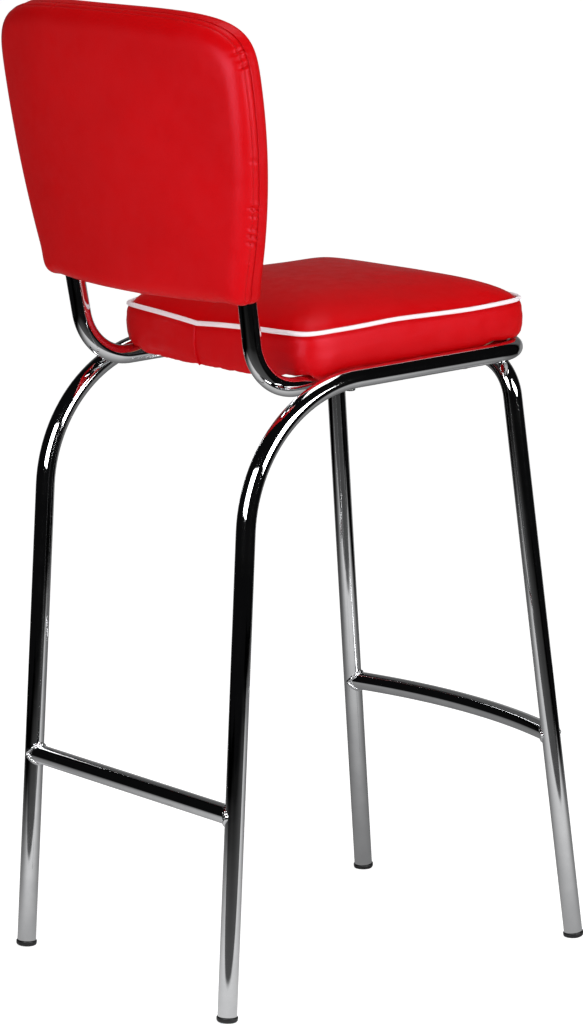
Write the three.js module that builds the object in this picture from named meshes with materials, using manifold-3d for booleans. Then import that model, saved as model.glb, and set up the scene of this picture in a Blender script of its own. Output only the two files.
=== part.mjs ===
// Diner counter stool: a bent chromed tube frame, a boxed and piped seat cushion and a
// wrap-around padded backrest. Millimetres, +Z up. The sitter faces -Y, so the sitter's
// right is -X. Every length is a named value, and each piece seats from the same values.
import * as THREE from 'three';
import { mergeVertices } from 'three/addons/utils/BufferGeometryUtils.js';
import Module from 'manifold-3d';

const wasm = await Module();
wasm.setup();

// Clearances
const gap = 0.3;
const overrun = 2;
const skinGap = 0.4;
const pointMerge = 1e-4;

// Frame tube
const tubeDiameter = 22;
const tubeWall = 1.5;

// Side rails and rear legs, one tube. The front rail places the rest of the stool.
const railHalfSpacing = 184;
const frontRailY = -195.6;
const frontRailHeight = 711.3;
const frontBendRadius = 58.6;
const railRun = 416.6;
const railDrop = 14.3;
const rearBendRadius = 163.5;
const rearFootSplay = 5.8;
const rearFootRun = 40.2;

// Front legs, one inverted U
const hoopInset = 26.7;
const hoopBendRadius = 46;
const frontFootSplay = 8.6;
const frontFootRun = 65.6;

// Cross tubes between the legs
const stretcherHeight = 231.3;
const footrestHeight = 248.3;
const footrestBow = 25.8;

// Back tubes: the run under the seat, and the two points in the panel that set the upright
const backRunInset = 37;
const backRunDrop = 2.8;
const backCornerDrop = 18.7;
const backBendRadius = 64;
const tubeLowInset = 20.85;
const tubeLowRise = 39.88;
const tubeLowDepth = 8.84;
const tubeHighInset = 13.1;
const tubeHighClearance = 77.47;
const tubeHighDepth = 6.82;

// Leg caps
const capRim = 1.1;
const capHeight = 6;
const capEdge = 1.6;
const capStem = 18;
const capChamfer = 2;
const capGround = 0.5;

// Seat cushion, in plan
const seatSideInset = 7.6;
const seatFlare = 5;
const seatRearClearance = 54.2;
const seatOverhang = 1.2;
const seatRearBow = 9.4;
const seatFrontBow = 5.3;
const seatPower = 11;
const cornerCrowdShare = 0.6;

// Seat cushion, in height above the underside of the board
const dustCoverThickness = 0.8;
const dustCoverInset = 1;
const boardThickness = 12;
const pipingSeatHeight = 47.7;
const pipingDip = 5.4;
const pipingDipHalfWidth = 105;
const seatCrown = 32.8;
const seatCrownLean = 0.1;
const crownPower = 2.96;
const crownRoot = 0.736;
const pipingRadius = 2.7;
const pipingInset = 1;
const skinThickness = 1.2;
const rimRest = 0.5;
const frontLift = 3.4;
const frontLiftStart = 85.6;
const frontLiftEnd = 55.6;
const rearHang = 6;
const hangTubeInset = 31;
const hangBlend = 16;
const tubeLift = 4.4;
const tubeLiftHalfWidth = 24;

// Seat board, in plan, set in from the cushion
const boardSideInset = 15.4;
const boardRearInset = 13.3;
const boardFrontInset = 15.8;
const boardRearBow = 8;
const boardFrontBow = 4;
const boardPower = 8;

// Seat fasteners, and how far from the board's middle toward its ends they stand
const boltShares = [0.56, -0.58];
const boltRadius = 2.85;
const boltHeadRadius = 5.8;
const boltHeadHeight = 4;
const washerRadius = 7;
const washerThickness = 1.2;
const teeFlangeRadius = 9;
const teeFlangeThickness = 1.2;
const teeBarrelRadius = 4;
const teeBarrelLength = 9;

// Backrest panel: its own upright axis runs up the rake, its depth axis points rearward
const panelRun = 427.7;
const panelLift = 82.9;
const panelRake = THREE.MathUtils.degToRad(9.4);
const panelBendRadius = 709.6;
const panelThickness = 50;
const panelRise = 322.2;
const panelBottomInset = 9.5;
const panelSpread = 42.7;
const panelLowerCorner = 13;
const panelWidestShare = 0.7387;
const panelSideShare = 0.52;
const panelShoulderShare = 0.74;
const panelTopShare = 0.99;
const rearEdgeInset = 22;
const rearEdgeDepth = 21;
const frontEdgeInset = 16;
const frontEdgeDepth = 16;

// Backrest board and its screws
const panelBoardFront = 4.8;
const panelBoardThickness = 6;
const panelBoardInset = 9;
const screwRadius = 2;
const screwHeadRadius = 4.2;
const screwHeadHeight = 1.6;
const screwShares = [0.244, 0.805];

// Facets
const tubeSides = 12;
const rearBendSteps = 10;
const bendSteps = 6;
const footrestSteps = 10;
const cutterSides = 24;
const turnedSides = 16;
const boltSides = 10;
const seatPoints = 40;
const sideSteps = 4;

const tubeRadius = tubeDiameter / 2;
const boreRadius = tubeRadius - tubeWall;
const full = Math.PI * 2;
const vector = (x, y, z) => new THREE.Vector3(x, y, z);

// Places that follow from the front rail
const rearCornerY = frontRailY + railRun;
const backRunFrontX = railHalfSpacing - backRunInset;
const seatHalfWidth = railHalfSpacing - seatSideInset;
const seatFrontY = frontRailY - seatOverhang;
const boardHalfWidth = seatHalfWidth - boardSideInset;
const boardFrontY = seatFrontY + boardFrontInset;
const panelY = frontRailY + panelRun;
const panelHeight = frontRailHeight + panelLift;
const panelBottomHalfWidth = railHalfSpacing - panelBottomInset;
const panelHalfWidth = panelBottomHalfWidth + panelSpread;
const panelWidestHeight = panelWidestShare * panelRise;

// Finishes
const finish = (color, roughness, metalness) => new THREE.MeshStandardMaterial({ color, roughness, metalness });
const chrome = finish(0xd8dadd, 0.06, 1);
const zincPlate = finish(0xa9abab, 0.4, 1);
const blackRubber = finish(0x0b0b0c, 0.6, 0);
const redVinyl = finish(0xc40a12, 0.42, 0);
const whiteVinyl = finish(0xf1ecee, 0.4, 0);
const foam = finish(0xe6d9a8, 0.95, 0);
const plywood = finish(0xb58a58, 0.75, 0);
const blackFleece = finish(0x17171a, 0.95, 0);

// Solids and cuts
function closedMesh(geometry) {
  geometry.deleteAttribute('normal');
  geometry.deleteAttribute('uv');
  const merged = mergeVertices(geometry, pointMerge);
  const place = merged.attributes.position;
  const corner = [0, 1, 2].map(() => vector(0, 0, 0));
  const index = [];
  let volume = 0;
  for (let i = 0; i < merged.index.count; i += 3) {
    const ids = [0, 1, 2].map((k) => merged.index.getX(i + k));
    if (new Set(ids).size < ids.length) continue;
    ids.forEach((id, k) => corner[k].fromBufferAttribute(place, id));
    volume += corner[0].dot(corner[1].clone().cross(corner[2]));
    index.push(ids);
  }
  merged.setIndex(index.flatMap((ids) => (volume < 0 ? [ids[0], ids[2], ids[1]] : ids)));
  merged.computeVertexNormals();
  return merged;
}

function toSolid(geometry) {
  const mesh = closedMesh(geometry);
  const vertProperties = new Float32Array(mesh.attributes.position.array);
  const triVerts = new Uint32Array(mesh.index.array);
  return new wasm.Manifold(new wasm.Mesh({ numProp: 3, vertProperties, triVerts }));
}

function fromSolid(solid) {
  const mesh = solid.getMesh();
  const geometry = new THREE.BufferGeometry();
  geometry.setAttribute('position', new THREE.BufferAttribute(new Float32Array(mesh.vertProperties), 3));
  geometry.setIndex(Array.from(mesh.triVerts));
  geometry.computeVertexNormals();
  return geometry;
}

const cut = (geometry, cutters) =>
  fromSolid(cutters.reduce((solid, cutter) => solid.subtract(toSolid(cutter)), toSolid(geometry)));
const join = (first, second) => fromSolid(toSolid(first).add(toSolid(second)));

// A cylinder from one point to another
function rod(from, to, radius, sides) {
  const along = to.clone().sub(from);
  const geometry = new THREE.CylinderGeometry(radius, radius, along.length(), sides);
  geometry.applyQuaternion(new THREE.Quaternion().setFromUnitVectors(vector(0, 1, 0), along.normalize()));
  const middle = from.clone().add(to).multiplyScalar(0.5);
  return geometry.translate(middle.x, middle.y, middle.z);
}

// A turned piece standing on a point, its profile given as [radius, height] pairs
function turned(profile, base, axis, sides) {
  const geometry = new THREE.LatheGeometry(profile.map(([r, h]) => new THREE.Vector2(r, h)), sides);
  geometry.applyQuaternion(new THREE.Quaternion().setFromUnitVectors(vector(0, 1, 0), axis));
  return closedMesh(geometry.translate(base.x, base.y, base.z));
}

// Bent tube
// A path of stations, so that straight runs take one step and bends take several
class StationPath extends THREE.Curve {
  constructor(stations) {
    super();
    this.stations = stations;
  }
  station(u) {
    return this.stations[Math.round(u * (this.stations.length - 1))];
  }
  getPoint(u, target = vector(0, 0, 0)) {
    return target.copy(this.station(u).point);
  }
  getTangent(u, target = vector(0, 0, 0)) {
    return target.copy(this.station(u).tangent);
  }
  getPointAt(u, target) {
    return this.getPoint(u, target);
  }
  getTangentAt(u, target) {
    return this.getTangent(u, target);
  }
}

// The centre line through corner points, with a bend of its own radius at each inner corner
function bentPath(corners, bends) {
  const towards = (a, b) => b.clone().sub(a).normalize();
  const stations = [{ point: corners[0], tangent: towards(corners[0], corners[1]) }];
  bends.forEach(({ radius, steps }, i) => {
    const corner = corners[i + 1];
    const before = towards(corners[i], corner);
    const after = towards(corner, corners[i + 2]);
    const turn = before.angleTo(after);
    const start = corner.clone().addScaledVector(before, -radius * Math.tan(turn / 2));
    const inward = after.clone().addScaledVector(before, -after.dot(before)).normalize();
    for (let k = 0; k <= steps; k += 1) {
      const angle = (turn * k) / steps;
      const point = start.clone().addScaledVector(before, radius * Math.sin(angle));
      point.addScaledVector(inward, radius * (1 - Math.cos(angle)));
      const tangent = before.clone().multiplyScalar(Math.cos(angle)).addScaledVector(inward, Math.sin(angle));
      stations.push({ point, tangent });
    }
  });
  const last = corners.length - 1;
  stations.push({ point: corners[last], tangent: towards(corners[last - 1], corners[last]) });
  return new StationPath(stations);
}

function sweep(path, radius, bore, sides) {
  const section = new THREE.Shape().absarc(0, 0, radius, 0, full, false);
  if (bore) section.holes.push(new THREE.Path().absarc(0, 0, bore, 0, full, true));
  const steps = path.stations.length - 1;
  const geometry = new THREE.ExtrudeGeometry(section, { steps, curveSegments: sides / 2, extrudePath: path });
  return closedMesh(geometry);
}

const tube = (path) => sweep(path, tubeRadius, boreRadius, tubeSides);
const tubeCutter = (path) => sweep(path, tubeRadius + gap, 0, cutterSides);

const mirrored = (point) => vector(-point.x, point.y, point.z);

// Frame centre lines
const rearFoot = vector(-railHalfSpacing - rearFootSplay, rearCornerY + rearFootRun, 0);
const rearCorner = vector(-railHalfSpacing, rearCornerY, frontRailHeight - railDrop);
const frontCorner = vector(-railHalfSpacing, frontRailY, frontRailHeight);
const frontFoot = vector(-railHalfSpacing - frontFootSplay, frontRailY - frontFootRun, 0);

// The hoop's top run nests behind and below the front rail and is welded to it
const nestOffset = (tubeDiameter + gap) * Math.SQRT1_2;
const hoopCorner = vector(
  -railHalfSpacing + hoopInset,
  frontRailY + nestOffset,
  frontRailHeight - nestOffset,
);

const tubeEnd = capHeight + gap;
const legAxis = (foot, corner) => corner.clone().sub(foot).normalize();
const footEnd = (foot, corner) => foot.clone().addScaledVector(legAxis(foot, corner), tubeEnd);
const legPoint = (foot, corner, height) => foot.clone().lerp(corner, height / corner.z);

const rearBend = { radius: rearBendRadius, steps: rearBendSteps };
const frontBend = { radius: frontBendRadius, steps: bendSteps };
const hoopBend = { radius: hoopBendRadius, steps: bendSteps };

const rearEnd = footEnd(rearFoot, rearCorner);
const mainPath = bentPath(
  [rearEnd, rearCorner, frontCorner, mirrored(frontCorner), mirrored(rearCorner), mirrored(rearEnd)],
  [rearBend, frontBend, frontBend, rearBend],
);
const hoopEnd = footEnd(frontFoot, hoopCorner);
const hoopPath = bentPath([hoopEnd, hoopCorner, mirrored(hoopCorner), mirrored(hoopEnd)], [hoopBend, hoopBend]);

// Cross tubes end on the leg axes and are coped round the legs
const stretcherEnd = legPoint(rearFoot, rearCorner, stretcherHeight);
const stretcherPath = bentPath([stretcherEnd, mirrored(stretcherEnd)], []);

const footrestEnd = legPoint(frontFoot, hoopCorner, footrestHeight);
const footrestHalf = Math.abs(footrestEnd.x);
const footrestRadius = (footrestHalf ** 2 + footrestBow ** 2) / (2 * footrestBow);
const footrestSpread = Math.asin(footrestHalf / footrestRadius);
const footrestCentreY = footrestEnd.y - footrestBow + footrestRadius;
const footrestStations = Array.from({ length: footrestSteps + 1 }, (_, k) => {
  const angle = footrestSpread * ((2 * k) / footrestSteps - 1);
  const across = footrestRadius * Math.sin(angle);
  const forward = footrestCentreY - footrestRadius * Math.cos(angle);
  return {
    point: vector(across, forward, footrestEnd.z),
    tangent: vector(Math.cos(angle), Math.sin(angle), 0),
  };
});
const footrestPath = new StationPath(footrestStations);

// Backrest frame: s runs across, t up the rake, depth rearward from the middle of the panel
function onPanel(s, t, depth) {
  const angle = s / panelBendRadius;
  const reach = (panelBendRadius + depth) * Math.cos(angle) - panelBendRadius;
  return vector(
    (panelBendRadius + depth) * Math.sin(angle),
    panelY + t * Math.sin(panelRake) + reach * Math.cos(panelRake),
    panelHeight + t * Math.cos(panelRake) - reach * Math.sin(panelRake),
  );
}

// The same three measures for a point in space
function panelPlace(point) {
  const back = point.y - panelY;
  const up = point.z - panelHeight;
  const reach = back * Math.cos(panelRake) - up * Math.sin(panelRake) + panelBendRadius;
  return {
    s: panelBendRadius * Math.atan2(point.x, reach),
    t: back * Math.sin(panelRake) + up * Math.cos(panelRake),
    depth: Math.hypot(point.x, reach) - panelBendRadius,
  };
}
const rearwardAt = (point) => {
  const { s, t, depth } = panelPlace(point);
  return onPanel(s, t, depth + panelThickness).sub(point).normalize();
};

// Back tube: from the front rail's bend, under the seat, up into the backrest
const bendInsetX = backRunFrontX - (railHalfSpacing - frontBendRadius);
const runFrontY = frontRailY + frontBendRadius - Math.sqrt(frontBendRadius ** 2 - bendInsetX ** 2);
const runFront = vector(-backRunFrontX, runFrontY, frontRailHeight - backRunDrop);
const backEntry = onPanel(tubeLowInset - railHalfSpacing, tubeLowRise, -tubeLowDepth);
const backTop = onPanel(tubeHighInset - railHalfSpacing, panelRise - tubeHighClearance, -tubeHighDepth);
const cornerDrop = backEntry.z - (frontRailHeight - backCornerDrop);
const backCorner = backEntry.clone().lerp(backTop, -cornerDrop / (backTop.z - backEntry.z));
const backAxis = legAxis(backCorner, backEntry);
const backPath = bentPath([runFront, backCorner, backTop], [{ radius: backBendRadius, steps: bendSteps }]);

// Seat frame: a plane lying on the two back tubes' runs
const seatTilt = Math.atan2(runFront.z - backCorner.z, backCorner.y - runFront.y);
const runHeightAtOrigin = backCorner.z + backCorner.y * Math.tan(seatTilt);
const seatMatrix = new THREE.Matrix4().makeRotationX(-seatTilt);
seatMatrix.setPosition(0, 0, runHeightAtOrigin + (tubeRadius + gap) / Math.cos(seatTilt));
const onSeat = (x, y, h) => vector(x, y, h).applyMatrix4(seatMatrix);
const seatUp = vector(0, 0, 1).transformDirection(seatMatrix);

const runShare = (y) => (backCorner.y - y) / (backCorner.y - runFrontY);
const runX = (y) => -backCorner.x + (backRunFrontX + backCorner.x) * runShare(y);

// The cushion and its board end a set way short of the back tubes' bend
const seatRearY = backCorner.y - seatRearClearance;
const boardRearY = seatRearY - boardRearInset;
const boardHalfDepth = (boardRearY - boardFrontY) / 2;
const boardCentreY = (boardRearY + boardFrontY) / 2;
const hangHalfWidth = runX(seatRearY) - hangTubeInset;
const boltRows = boltShares.map((share) => boardCentreY + share * boardHalfDepth);
const seatBoltPlaces = boltRows.flatMap((y) => [-1, 1].map((side) => [side * runX(y), y]));

// Fastener places in the back tubes: point on the tube axis and direction into the board
const screwPlaces = [-1, 1].flatMap((side) =>
  screwShares.map((share) => {
    const point = backEntry.clone().lerp(backTop, share);
    if (side > 0) point.x = -point.x;
    return { point, axis: rearwardAt(point), depth: panelPlace(point).depth };
  }),
);

const stool = new THREE.Group();
stool.name = 'diner_counter_stool';
function add(name, geometry, material) {
  const mesh = new THREE.Mesh(geometry, material);
  mesh.name = name;
  stool.add(mesh);
}

// Frame
function addFrame() {
  add('main_frame_tube', tube(mainPath), chrome);
  add('front_leg_hoop', tube(hoopPath), chrome);

  const cope = (foot, corner) => [foot, mirrored(foot)].map((low, i) =>
    rod(low, i ? mirrored(corner) : corner, (tubeRadius + gap) / Math.cos(Math.PI / cutterSides), cutterSides));
  add('rear_stretcher', cut(tube(stretcherPath), cope(rearFoot, rearCorner)), chrome);
  add('footrest_bar', cut(tube(footrestPath), cope(frontFoot, hoopCorner)), chrome);
}

// A hole through the tube walls, made with room for the fastener
const boltHoles = (side) => seatBoltPlaces.filter(([x]) => x * side > 0).map(([x, y]) =>
  rod(onSeat(x, y, -tubeDiameter * 1.5), onSeat(x, y, overrun), boltRadius + gap, boltSides));
const screwHoles = (side) => screwPlaces.filter(({ point }) => point.x * side > 0).map(({ point, axis }) =>
  rod(
    point.clone().addScaledVector(axis, -tubeDiameter),
    point.clone().addScaledVector(axis, tubeDiameter),
    screwRadius + gap,
    boltSides,
  ));

function addBackTubes() {
  const welds = [tubeCutter(mainPath), tubeCutter(hoopPath)];
  [['right', -1], ['left', 1]].forEach(([hand, side]) => {
    const path = side < 0 ? backPath : new StationPath(backPath.stations.map(({ point, tangent }) => (
      { point: mirrored(point), tangent: mirrored(tangent) })));
    const cutters = [...welds, ...boltHoles(side), ...screwHoles(side)];
    add(`back_tube_${hand}`, cut(tube(path), cutters), chrome);
  });
}

// Leg caps: a rim under the tube and a stem in its bore, ground flat where the leg's slant tips it
function addLegCaps() {
  const rimRadius = tubeRadius + capRim;
  const stemRadius = boreRadius * Math.cos(Math.PI / tubeSides) - gap;
  const stemTop = capHeight + capStem;
  const profile = [
    [0, -capGround],
    [rimRadius - 2 * capEdge, -capGround],
    [rimRadius - capEdge / 2, capEdge / 2],
    [rimRadius, 2 * capEdge],
    [rimRadius, capHeight],
    [stemRadius, capHeight],
    [stemRadius, stemTop - capChamfer],
    [stemRadius - capChamfer, stemTop],
    [0, stemTop],
  ];
  const legs = [
    ['rear_right', rearFoot, rearCorner],
    ['rear_left', mirrored(rearFoot), mirrored(rearCorner)],
    ['front_right', frontFoot, hoopCorner],
    ['front_left', mirrored(frontFoot), mirrored(hoopCorner)],
  ];
  legs.forEach(([name, foot, corner]) => {
    const cap = turned(profile, foot, legAxis(foot, corner), turnedSides);
    const floor = new THREE.BoxGeometry(4 * rimRadius, 4 * rimRadius, rimRadius);
    floor.translate(foot.x, foot.y, -rimRadius / 2);
    add(`leg_cap_${name}`, cut(cap, [floor]), blackRubber);
  });
}

// Ring-built skins and pads
// Rings of equal point counts are joined in turn, each face split along its shorter diagonal.
// A ring of one point closes an end, and a looped solid joins its last ring to its first.
function ringSolid(rings, looped = false) {
  const places = rings.flat();
  const starts = rings.map((_, k) => rings.slice(0, k).flat().length);
  const index = [];
  const pairs = looped ? rings.length : rings.length - 1;
  for (let k = 0; k < pairs; k += 1) {
    const next = (k + 1) % rings.length;
    const count = Math.max(rings[k].length, rings[next].length);
    const id = (ring, i) => starts[ring] + (rings[ring].length > 1 ? i % count : 0);
    for (let i = 0; i < count; i += 1) {
      const [a, b, c, d] = [id(k, i), id(k, i + 1), id(next, i), id(next, i + 1)];
      if (places[a].distanceTo(places[d]) < places[b].distanceTo(places[c])) {
        index.push(a, b, d, a, d, c);
      } else {
        index.push(a, b, c, b, d, c);
      }
    }
  }
  const geometry = new THREE.BufferGeometry();
  const positions = places.flatMap((point) => point.toArray());
  geometry.setAttribute('position', new THREE.Float32BufferAttribute(positions, 3));
  geometry.setIndex(index);
  return closedMesh(geometry);
}

// Seat
const cushionPlan = {
  halfWidth: seatHalfWidth,
  halfDepth: (seatRearY - seatFrontY) / 2,
  centreY: (seatRearY + seatFrontY) / 2,
  rearBow: seatRearBow,
  frontBow: seatFrontBow,
  flare: seatFlare,
  power: seatPower,
};
const boardPlan = {
  halfWidth: boardHalfWidth,
  halfDepth: boardHalfDepth,
  centreY: boardCentreY,
  rearBow: boardRearBow,
  frontBow: boardFrontBow,
  flare: 0,
  power: boardPower,
};

// A rounded square, wider at the front, with bowed ends and its points crowded at the corners
function planPoint(plan, turn, inset) {
  const angle = turn + (cornerCrowdShare * Math.sin(4 * turn)) / 4;
  const across = Math.cos(angle);
  const along = Math.sin(angle);
  const reach = (Math.abs(across) ** plan.power + Math.abs(along) ** plan.power) ** (-1 / plan.power);
  const u = across * reach;
  const v = along * reach;
  const bow = v > 0 ? plan.rearBow : plan.frontBow;
  return {
    x: (plan.halfWidth - plan.flare * v - inset) * u,
    y: plan.centreY + (plan.halfDepth + bow * (1 - u * u) - inset) * v,
  };
}

const seatTurns = Array.from({ length: seatPoints }, (_, k) => (full * (k + 0.5)) / seatPoints);
const seatRing = (plan, inset, height, share = 1) => seatTurns.map((turn) => {
  const { x, y } = planPoint(plan, turn, inset);
  const px = x * share;
  const py = plan.centreY + (y - plan.centreY) * share;
  return vector(px, py, typeof height === 'function' ? height(x, y) : height);
});
const seatCentre = (plan, height) => [vector(0, plan.centreY, height)];

const smooth = (value, from, to) => THREE.MathUtils.smoothstep(value, from, to);

// The piping dips toward the cover's seam in the middle of the rear edge
function pipingHeight(x, y) {
  const nearSeam = 1 - smooth(Math.abs(x), 0, pipingDipHalfWidth);
  return pipingSeatHeight - pipingDip * nearSeam * smooth(y, cushionPlan.centreY, seatRearY);
}

// The cover's lower edge rises over the front rail. Behind the board it hangs between the
// back tubes and lifts over them.
function rimHeight(x, y) {
  const atRear = smooth(y, boardRearY - rearHang, seatRearY - skinThickness);
  const hang = rearHang * (1 - smooth(Math.abs(x), hangHalfWidth - hangBlend, hangHalfWidth));
  const fromTube = Math.abs(Math.abs(x) - runX(seatRearY));
  const lift = tubeLift * (1 - smooth(fromTube, tubeLiftHalfWidth / 2, tubeLiftHalfWidth));
  const atFront = 1 - smooth(y - frontRailY, frontLiftEnd, frontLiftStart);
  return rimRest + frontLift * atFront + atRear * (lift - hang);
}

// Share of the way down the band, and how far its side stands in from the plan there
const bandShares = [0, 0.15, 0.4, 0.68, 0.88, 1];
const bandInsets = [0.8, -1, -2, -1.5, 0, 3];
const bandTopDrop = pipingRadius + gap;

function bandRows(extraInset, extraDrop, mirroredOrder) {
  const rows = bandShares.map((share, i) => {
    const height = (x, y) => {
      const top = pipingHeight(x, y) - bandTopDrop - extraDrop;
      return top + (rimHeight(x, y) - top) * share;
    };
    return seatRing(cushionPlan, bandInsets[i] + extraInset, height);
  });
  return mirroredOrder ? rows.reverse() : rows;
}

// The crown rises from the piping, and the piping's dip fades toward its middle
const crownShares = [0.4, 0.66, 0.84, 0.94, 0.985, 1];
function crownRows(inset, drop) {
  return crownShares.map((share) => {
    const rise = seatCrown * (1 - share ** crownPower) ** crownRoot;
    const lean = (y) => 1 + (seatCrownLean * share * (y - cushionPlan.centreY)) / cushionPlan.halfDepth;
    const dip = (x, y) => (pipingSeatHeight - pipingHeight(x, y)) * share ** crownPower;
    const height = (x, y) => pipingSeatHeight - dip(x, y) + rise * lean(y) - drop;
    return seatRing(cushionPlan, inset, height, share);
  });
}
const crownCentre = (drop) => seatCentre(cushionPlan, pipingSeatHeight + seatCrown - drop);

const boardBottom = dustCoverThickness + gap;
const boardTop = boardBottom + boardThickness;
const teeFlangeTop = boardTop + gap + teeFlangeThickness;

function platePunched(plan, inset, bottom, thickness, holeRadius) {
  const outline = seatTurns.map((turn) => planPoint(plan, turn, inset));
  const shape = new THREE.Shape(outline.map(({ x, y }) => new THREE.Vector2(x, y)));
  seatBoltPlaces.forEach(([x, y]) => {
    shape.holes.push(new THREE.Path().absarc(x, y, holeRadius, 0, full, true));
  });
  const plate = new THREE.ExtrudeGeometry(shape, {
    depth: thickness,
    curveSegments: boltSides / 2,
    bevelEnabled: false,
  });
  return closedMesh(plate.translate(0, 0, bottom));
}

function addSeat() {
  const seat = [];
  const place = (name, geometry, material) => seat.push([name, geometry, material]);

  place('seat_board', platePunched(boardPlan, 0, boardBottom, boardThickness, teeBarrelRadius + gap), plywood);
  const fleece = platePunched(boardPlan, dustCoverInset, 0, dustCoverThickness, boltRadius + gap);
  place('seat_dust_cover', fleece, blackFleece);

  // The foam wraps the board's edge and has pockets for the tee nuts
  const foamInset = skinThickness + skinGap;
  const edgeInset = pipingInset + pipingRadius + skinGap;
  const foamRings = [
    crownCentre(foamInset),
    ...crownRows(edgeInset + skinGap, foamInset),
    seatRing(cushionPlan, edgeInset + skinGap, (x, y) => pipingHeight(x, y) - bandTopDrop - gap),
    ...bandRows(foamInset, pipingRadius, false),
    seatRing(boardPlan, -gap, rimHeight),
    seatRing(boardPlan, -gap, boardTop + gap),
    seatCentre(boardPlan, boardTop + gap),
  ];
  const pockets = seatBoltPlaces.map(([x, y]) =>
    rod(vector(x, y, boardTop - overrun), vector(x, y, teeFlangeTop + gap), teeFlangeRadius + gap, turnedSides));
  place('seat_foam', cut(ringSolid(foamRings), pockets), foam);

  const topRings = [
    crownCentre(0),
    ...crownRows(edgeInset, 0),
    ...crownRows(edgeInset, skinThickness).reverse(),
    crownCentre(skinThickness),
  ];
  place('seat_cover_top', ringSolid(topRings), redVinyl);
  const bandRings = [...bandRows(0, 0, false), ...bandRows(skinThickness, 0, true)];
  place('seat_cover_band', ringSolid(bandRings, true), redVinyl);

  const pipingRings = Array.from({ length: tubeSides / 2 }, (_, k) => {
    const angle = (full * k) / (tubeSides / 2);
    const inset = pipingInset - pipingRadius * Math.cos(angle);
    return seatRing(cushionPlan, inset, (x, y) => pipingHeight(x, y) + pipingRadius * Math.sin(angle));
  });
  place('seat_piping', ringSolid(pipingRings, true), whiteVinyl);

  seat.forEach(([name, geometry, material]) => add(name, geometry.applyMatrix4(seatMatrix), material));
}

// Seat bolts come up through the back tubes into tee nuts in the board
function addSeatFasteners() {
  const washerTop = -gap - tubeDiameter - gap;
  const washerBottom = washerTop - washerThickness;
  const headTop = washerBottom - gap;
  const shankTop = boardTop - washerThickness;
  const flangeBottom = boardTop + gap;
  const barrelBottom = flangeBottom - teeBarrelLength;
  const bore = boltRadius + gap;
  const washerProfile = [
    [bore, washerBottom],
    [washerRadius, washerBottom],
    [washerRadius, washerTop],
    [bore, washerTop],
    [bore, washerBottom],
  ];
  const teeProfile = [
    [bore, barrelBottom],
    [teeBarrelRadius, barrelBottom],
    [teeBarrelRadius, flangeBottom],
    [teeFlangeRadius, flangeBottom],
    [teeFlangeRadius, teeFlangeTop],
    [bore, teeFlangeTop],
    [bore, barrelBottom],
  ];
  seatBoltPlaces.forEach(([x, y], i) => {
    const base = onSeat(x, y, 0);
    const head = rod(onSeat(x, y, headTop - boltHeadHeight), onSeat(x, y, headTop), boltHeadRadius, 6);
    const shank = rod(onSeat(x, y, headTop - boltHeadHeight / 2), onSeat(x, y, shankTop), boltRadius, boltSides);
    add(`seat_bolt_${i + 1}`, join(head, shank), zincPlate);
    add(`seat_washer_${i + 1}`, turned(washerProfile, base, seatUp, boltSides), zincPlate);
    add(`seat_tee_nut_${i + 1}`, turned(teeProfile, base, seatUp, boltSides), zincPlate);
  });
}

// Backrest outline, from the bottom middle round the sitter's left and back again
function panelOutline() {
  const point = (x, y) => new THREE.Vector2(x, y);
  const sideControl = point(panelHalfWidth, panelSideShare * panelWidestHeight);
  const lowerCorner = point(panelBottomHalfWidth, 0);
  const upSide = sideControl.clone().sub(lowerCorner).normalize();
  const sideStart = lowerCorner.clone().addScaledVector(upSide, panelLowerCorner);
  const cornerStart = point(panelBottomHalfWidth - panelLowerCorner, 0);
  const widest = point(panelHalfWidth, panelWidestHeight);
  const crownRise = panelRise - panelWidestHeight;
  const shoulder = point(panelHalfWidth, panelWidestHeight + panelShoulderShare * crownRise);
  const topControl = point(panelTopShare * panelHalfWidth, panelRise);
  const curves = [
    [new THREE.LineCurve(point(0, 0), cornerStart), sideSteps - 1],
    [new THREE.QuadraticBezierCurve(cornerStart, lowerCorner, sideStart), sideSteps],
    [new THREE.QuadraticBezierCurve(sideStart, sideControl, widest), sideSteps],
    [new THREE.CubicBezierCurve(widest, shoulder, topControl, point(0, panelRise)), 2 * sideSteps],
  ];
  const half = curves.flatMap(([curve, steps]) =>
    Array.from({ length: steps }, (_, k) => curve.getPoint(k / steps)));
  const otherHalf = half.slice(1).reverse().map(({ x, y }) => point(-x, y));
  return [...half, point(0, panelRise), ...otherHalf];
}

const panelEdge = panelOutline();
const panelMiddle = panelRise / 2;
const panelRing = (inset, depth, share = 1) => panelEdge.map(({ x, y }) => {
  const s = x * share * (1 - inset / panelHalfWidth);
  const t = panelMiddle + (y - panelMiddle) * share * (1 - inset / panelMiddle);
  return onPanel(s, t, depth);
});

// The rows of a flat face, the same at every depth so that neighbouring faces stay parallel
const flatShares = [0.3, 0.6, 0.86];
const flatRows = (depth) => [
  [onPanel(0, panelMiddle, depth)],
  ...flatShares.map((share) => panelRing(frontEdgeInset, depth, share)),
];

// A face whose edge rolls over: flat rows first, then the rolled edge out to its rim
const rollSteps = 4;
function rolledFace(face, side, edgeInset, edgeDepth, thickness) {
  const inner = face - side * thickness;
  const rolled = Array.from({ length: rollSteps + 1 }, (_, k) => {
    const angle = (Math.PI / 2) * (k / rollSteps);
    const inset = thickness + (edgeInset - thickness) * (1 - Math.sin(angle));
    return panelRing(inset, inner - side * (edgeDepth - thickness) * (1 - Math.cos(angle)));
  });
  return [...flatRows(inner), ...rolled];
}

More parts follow.
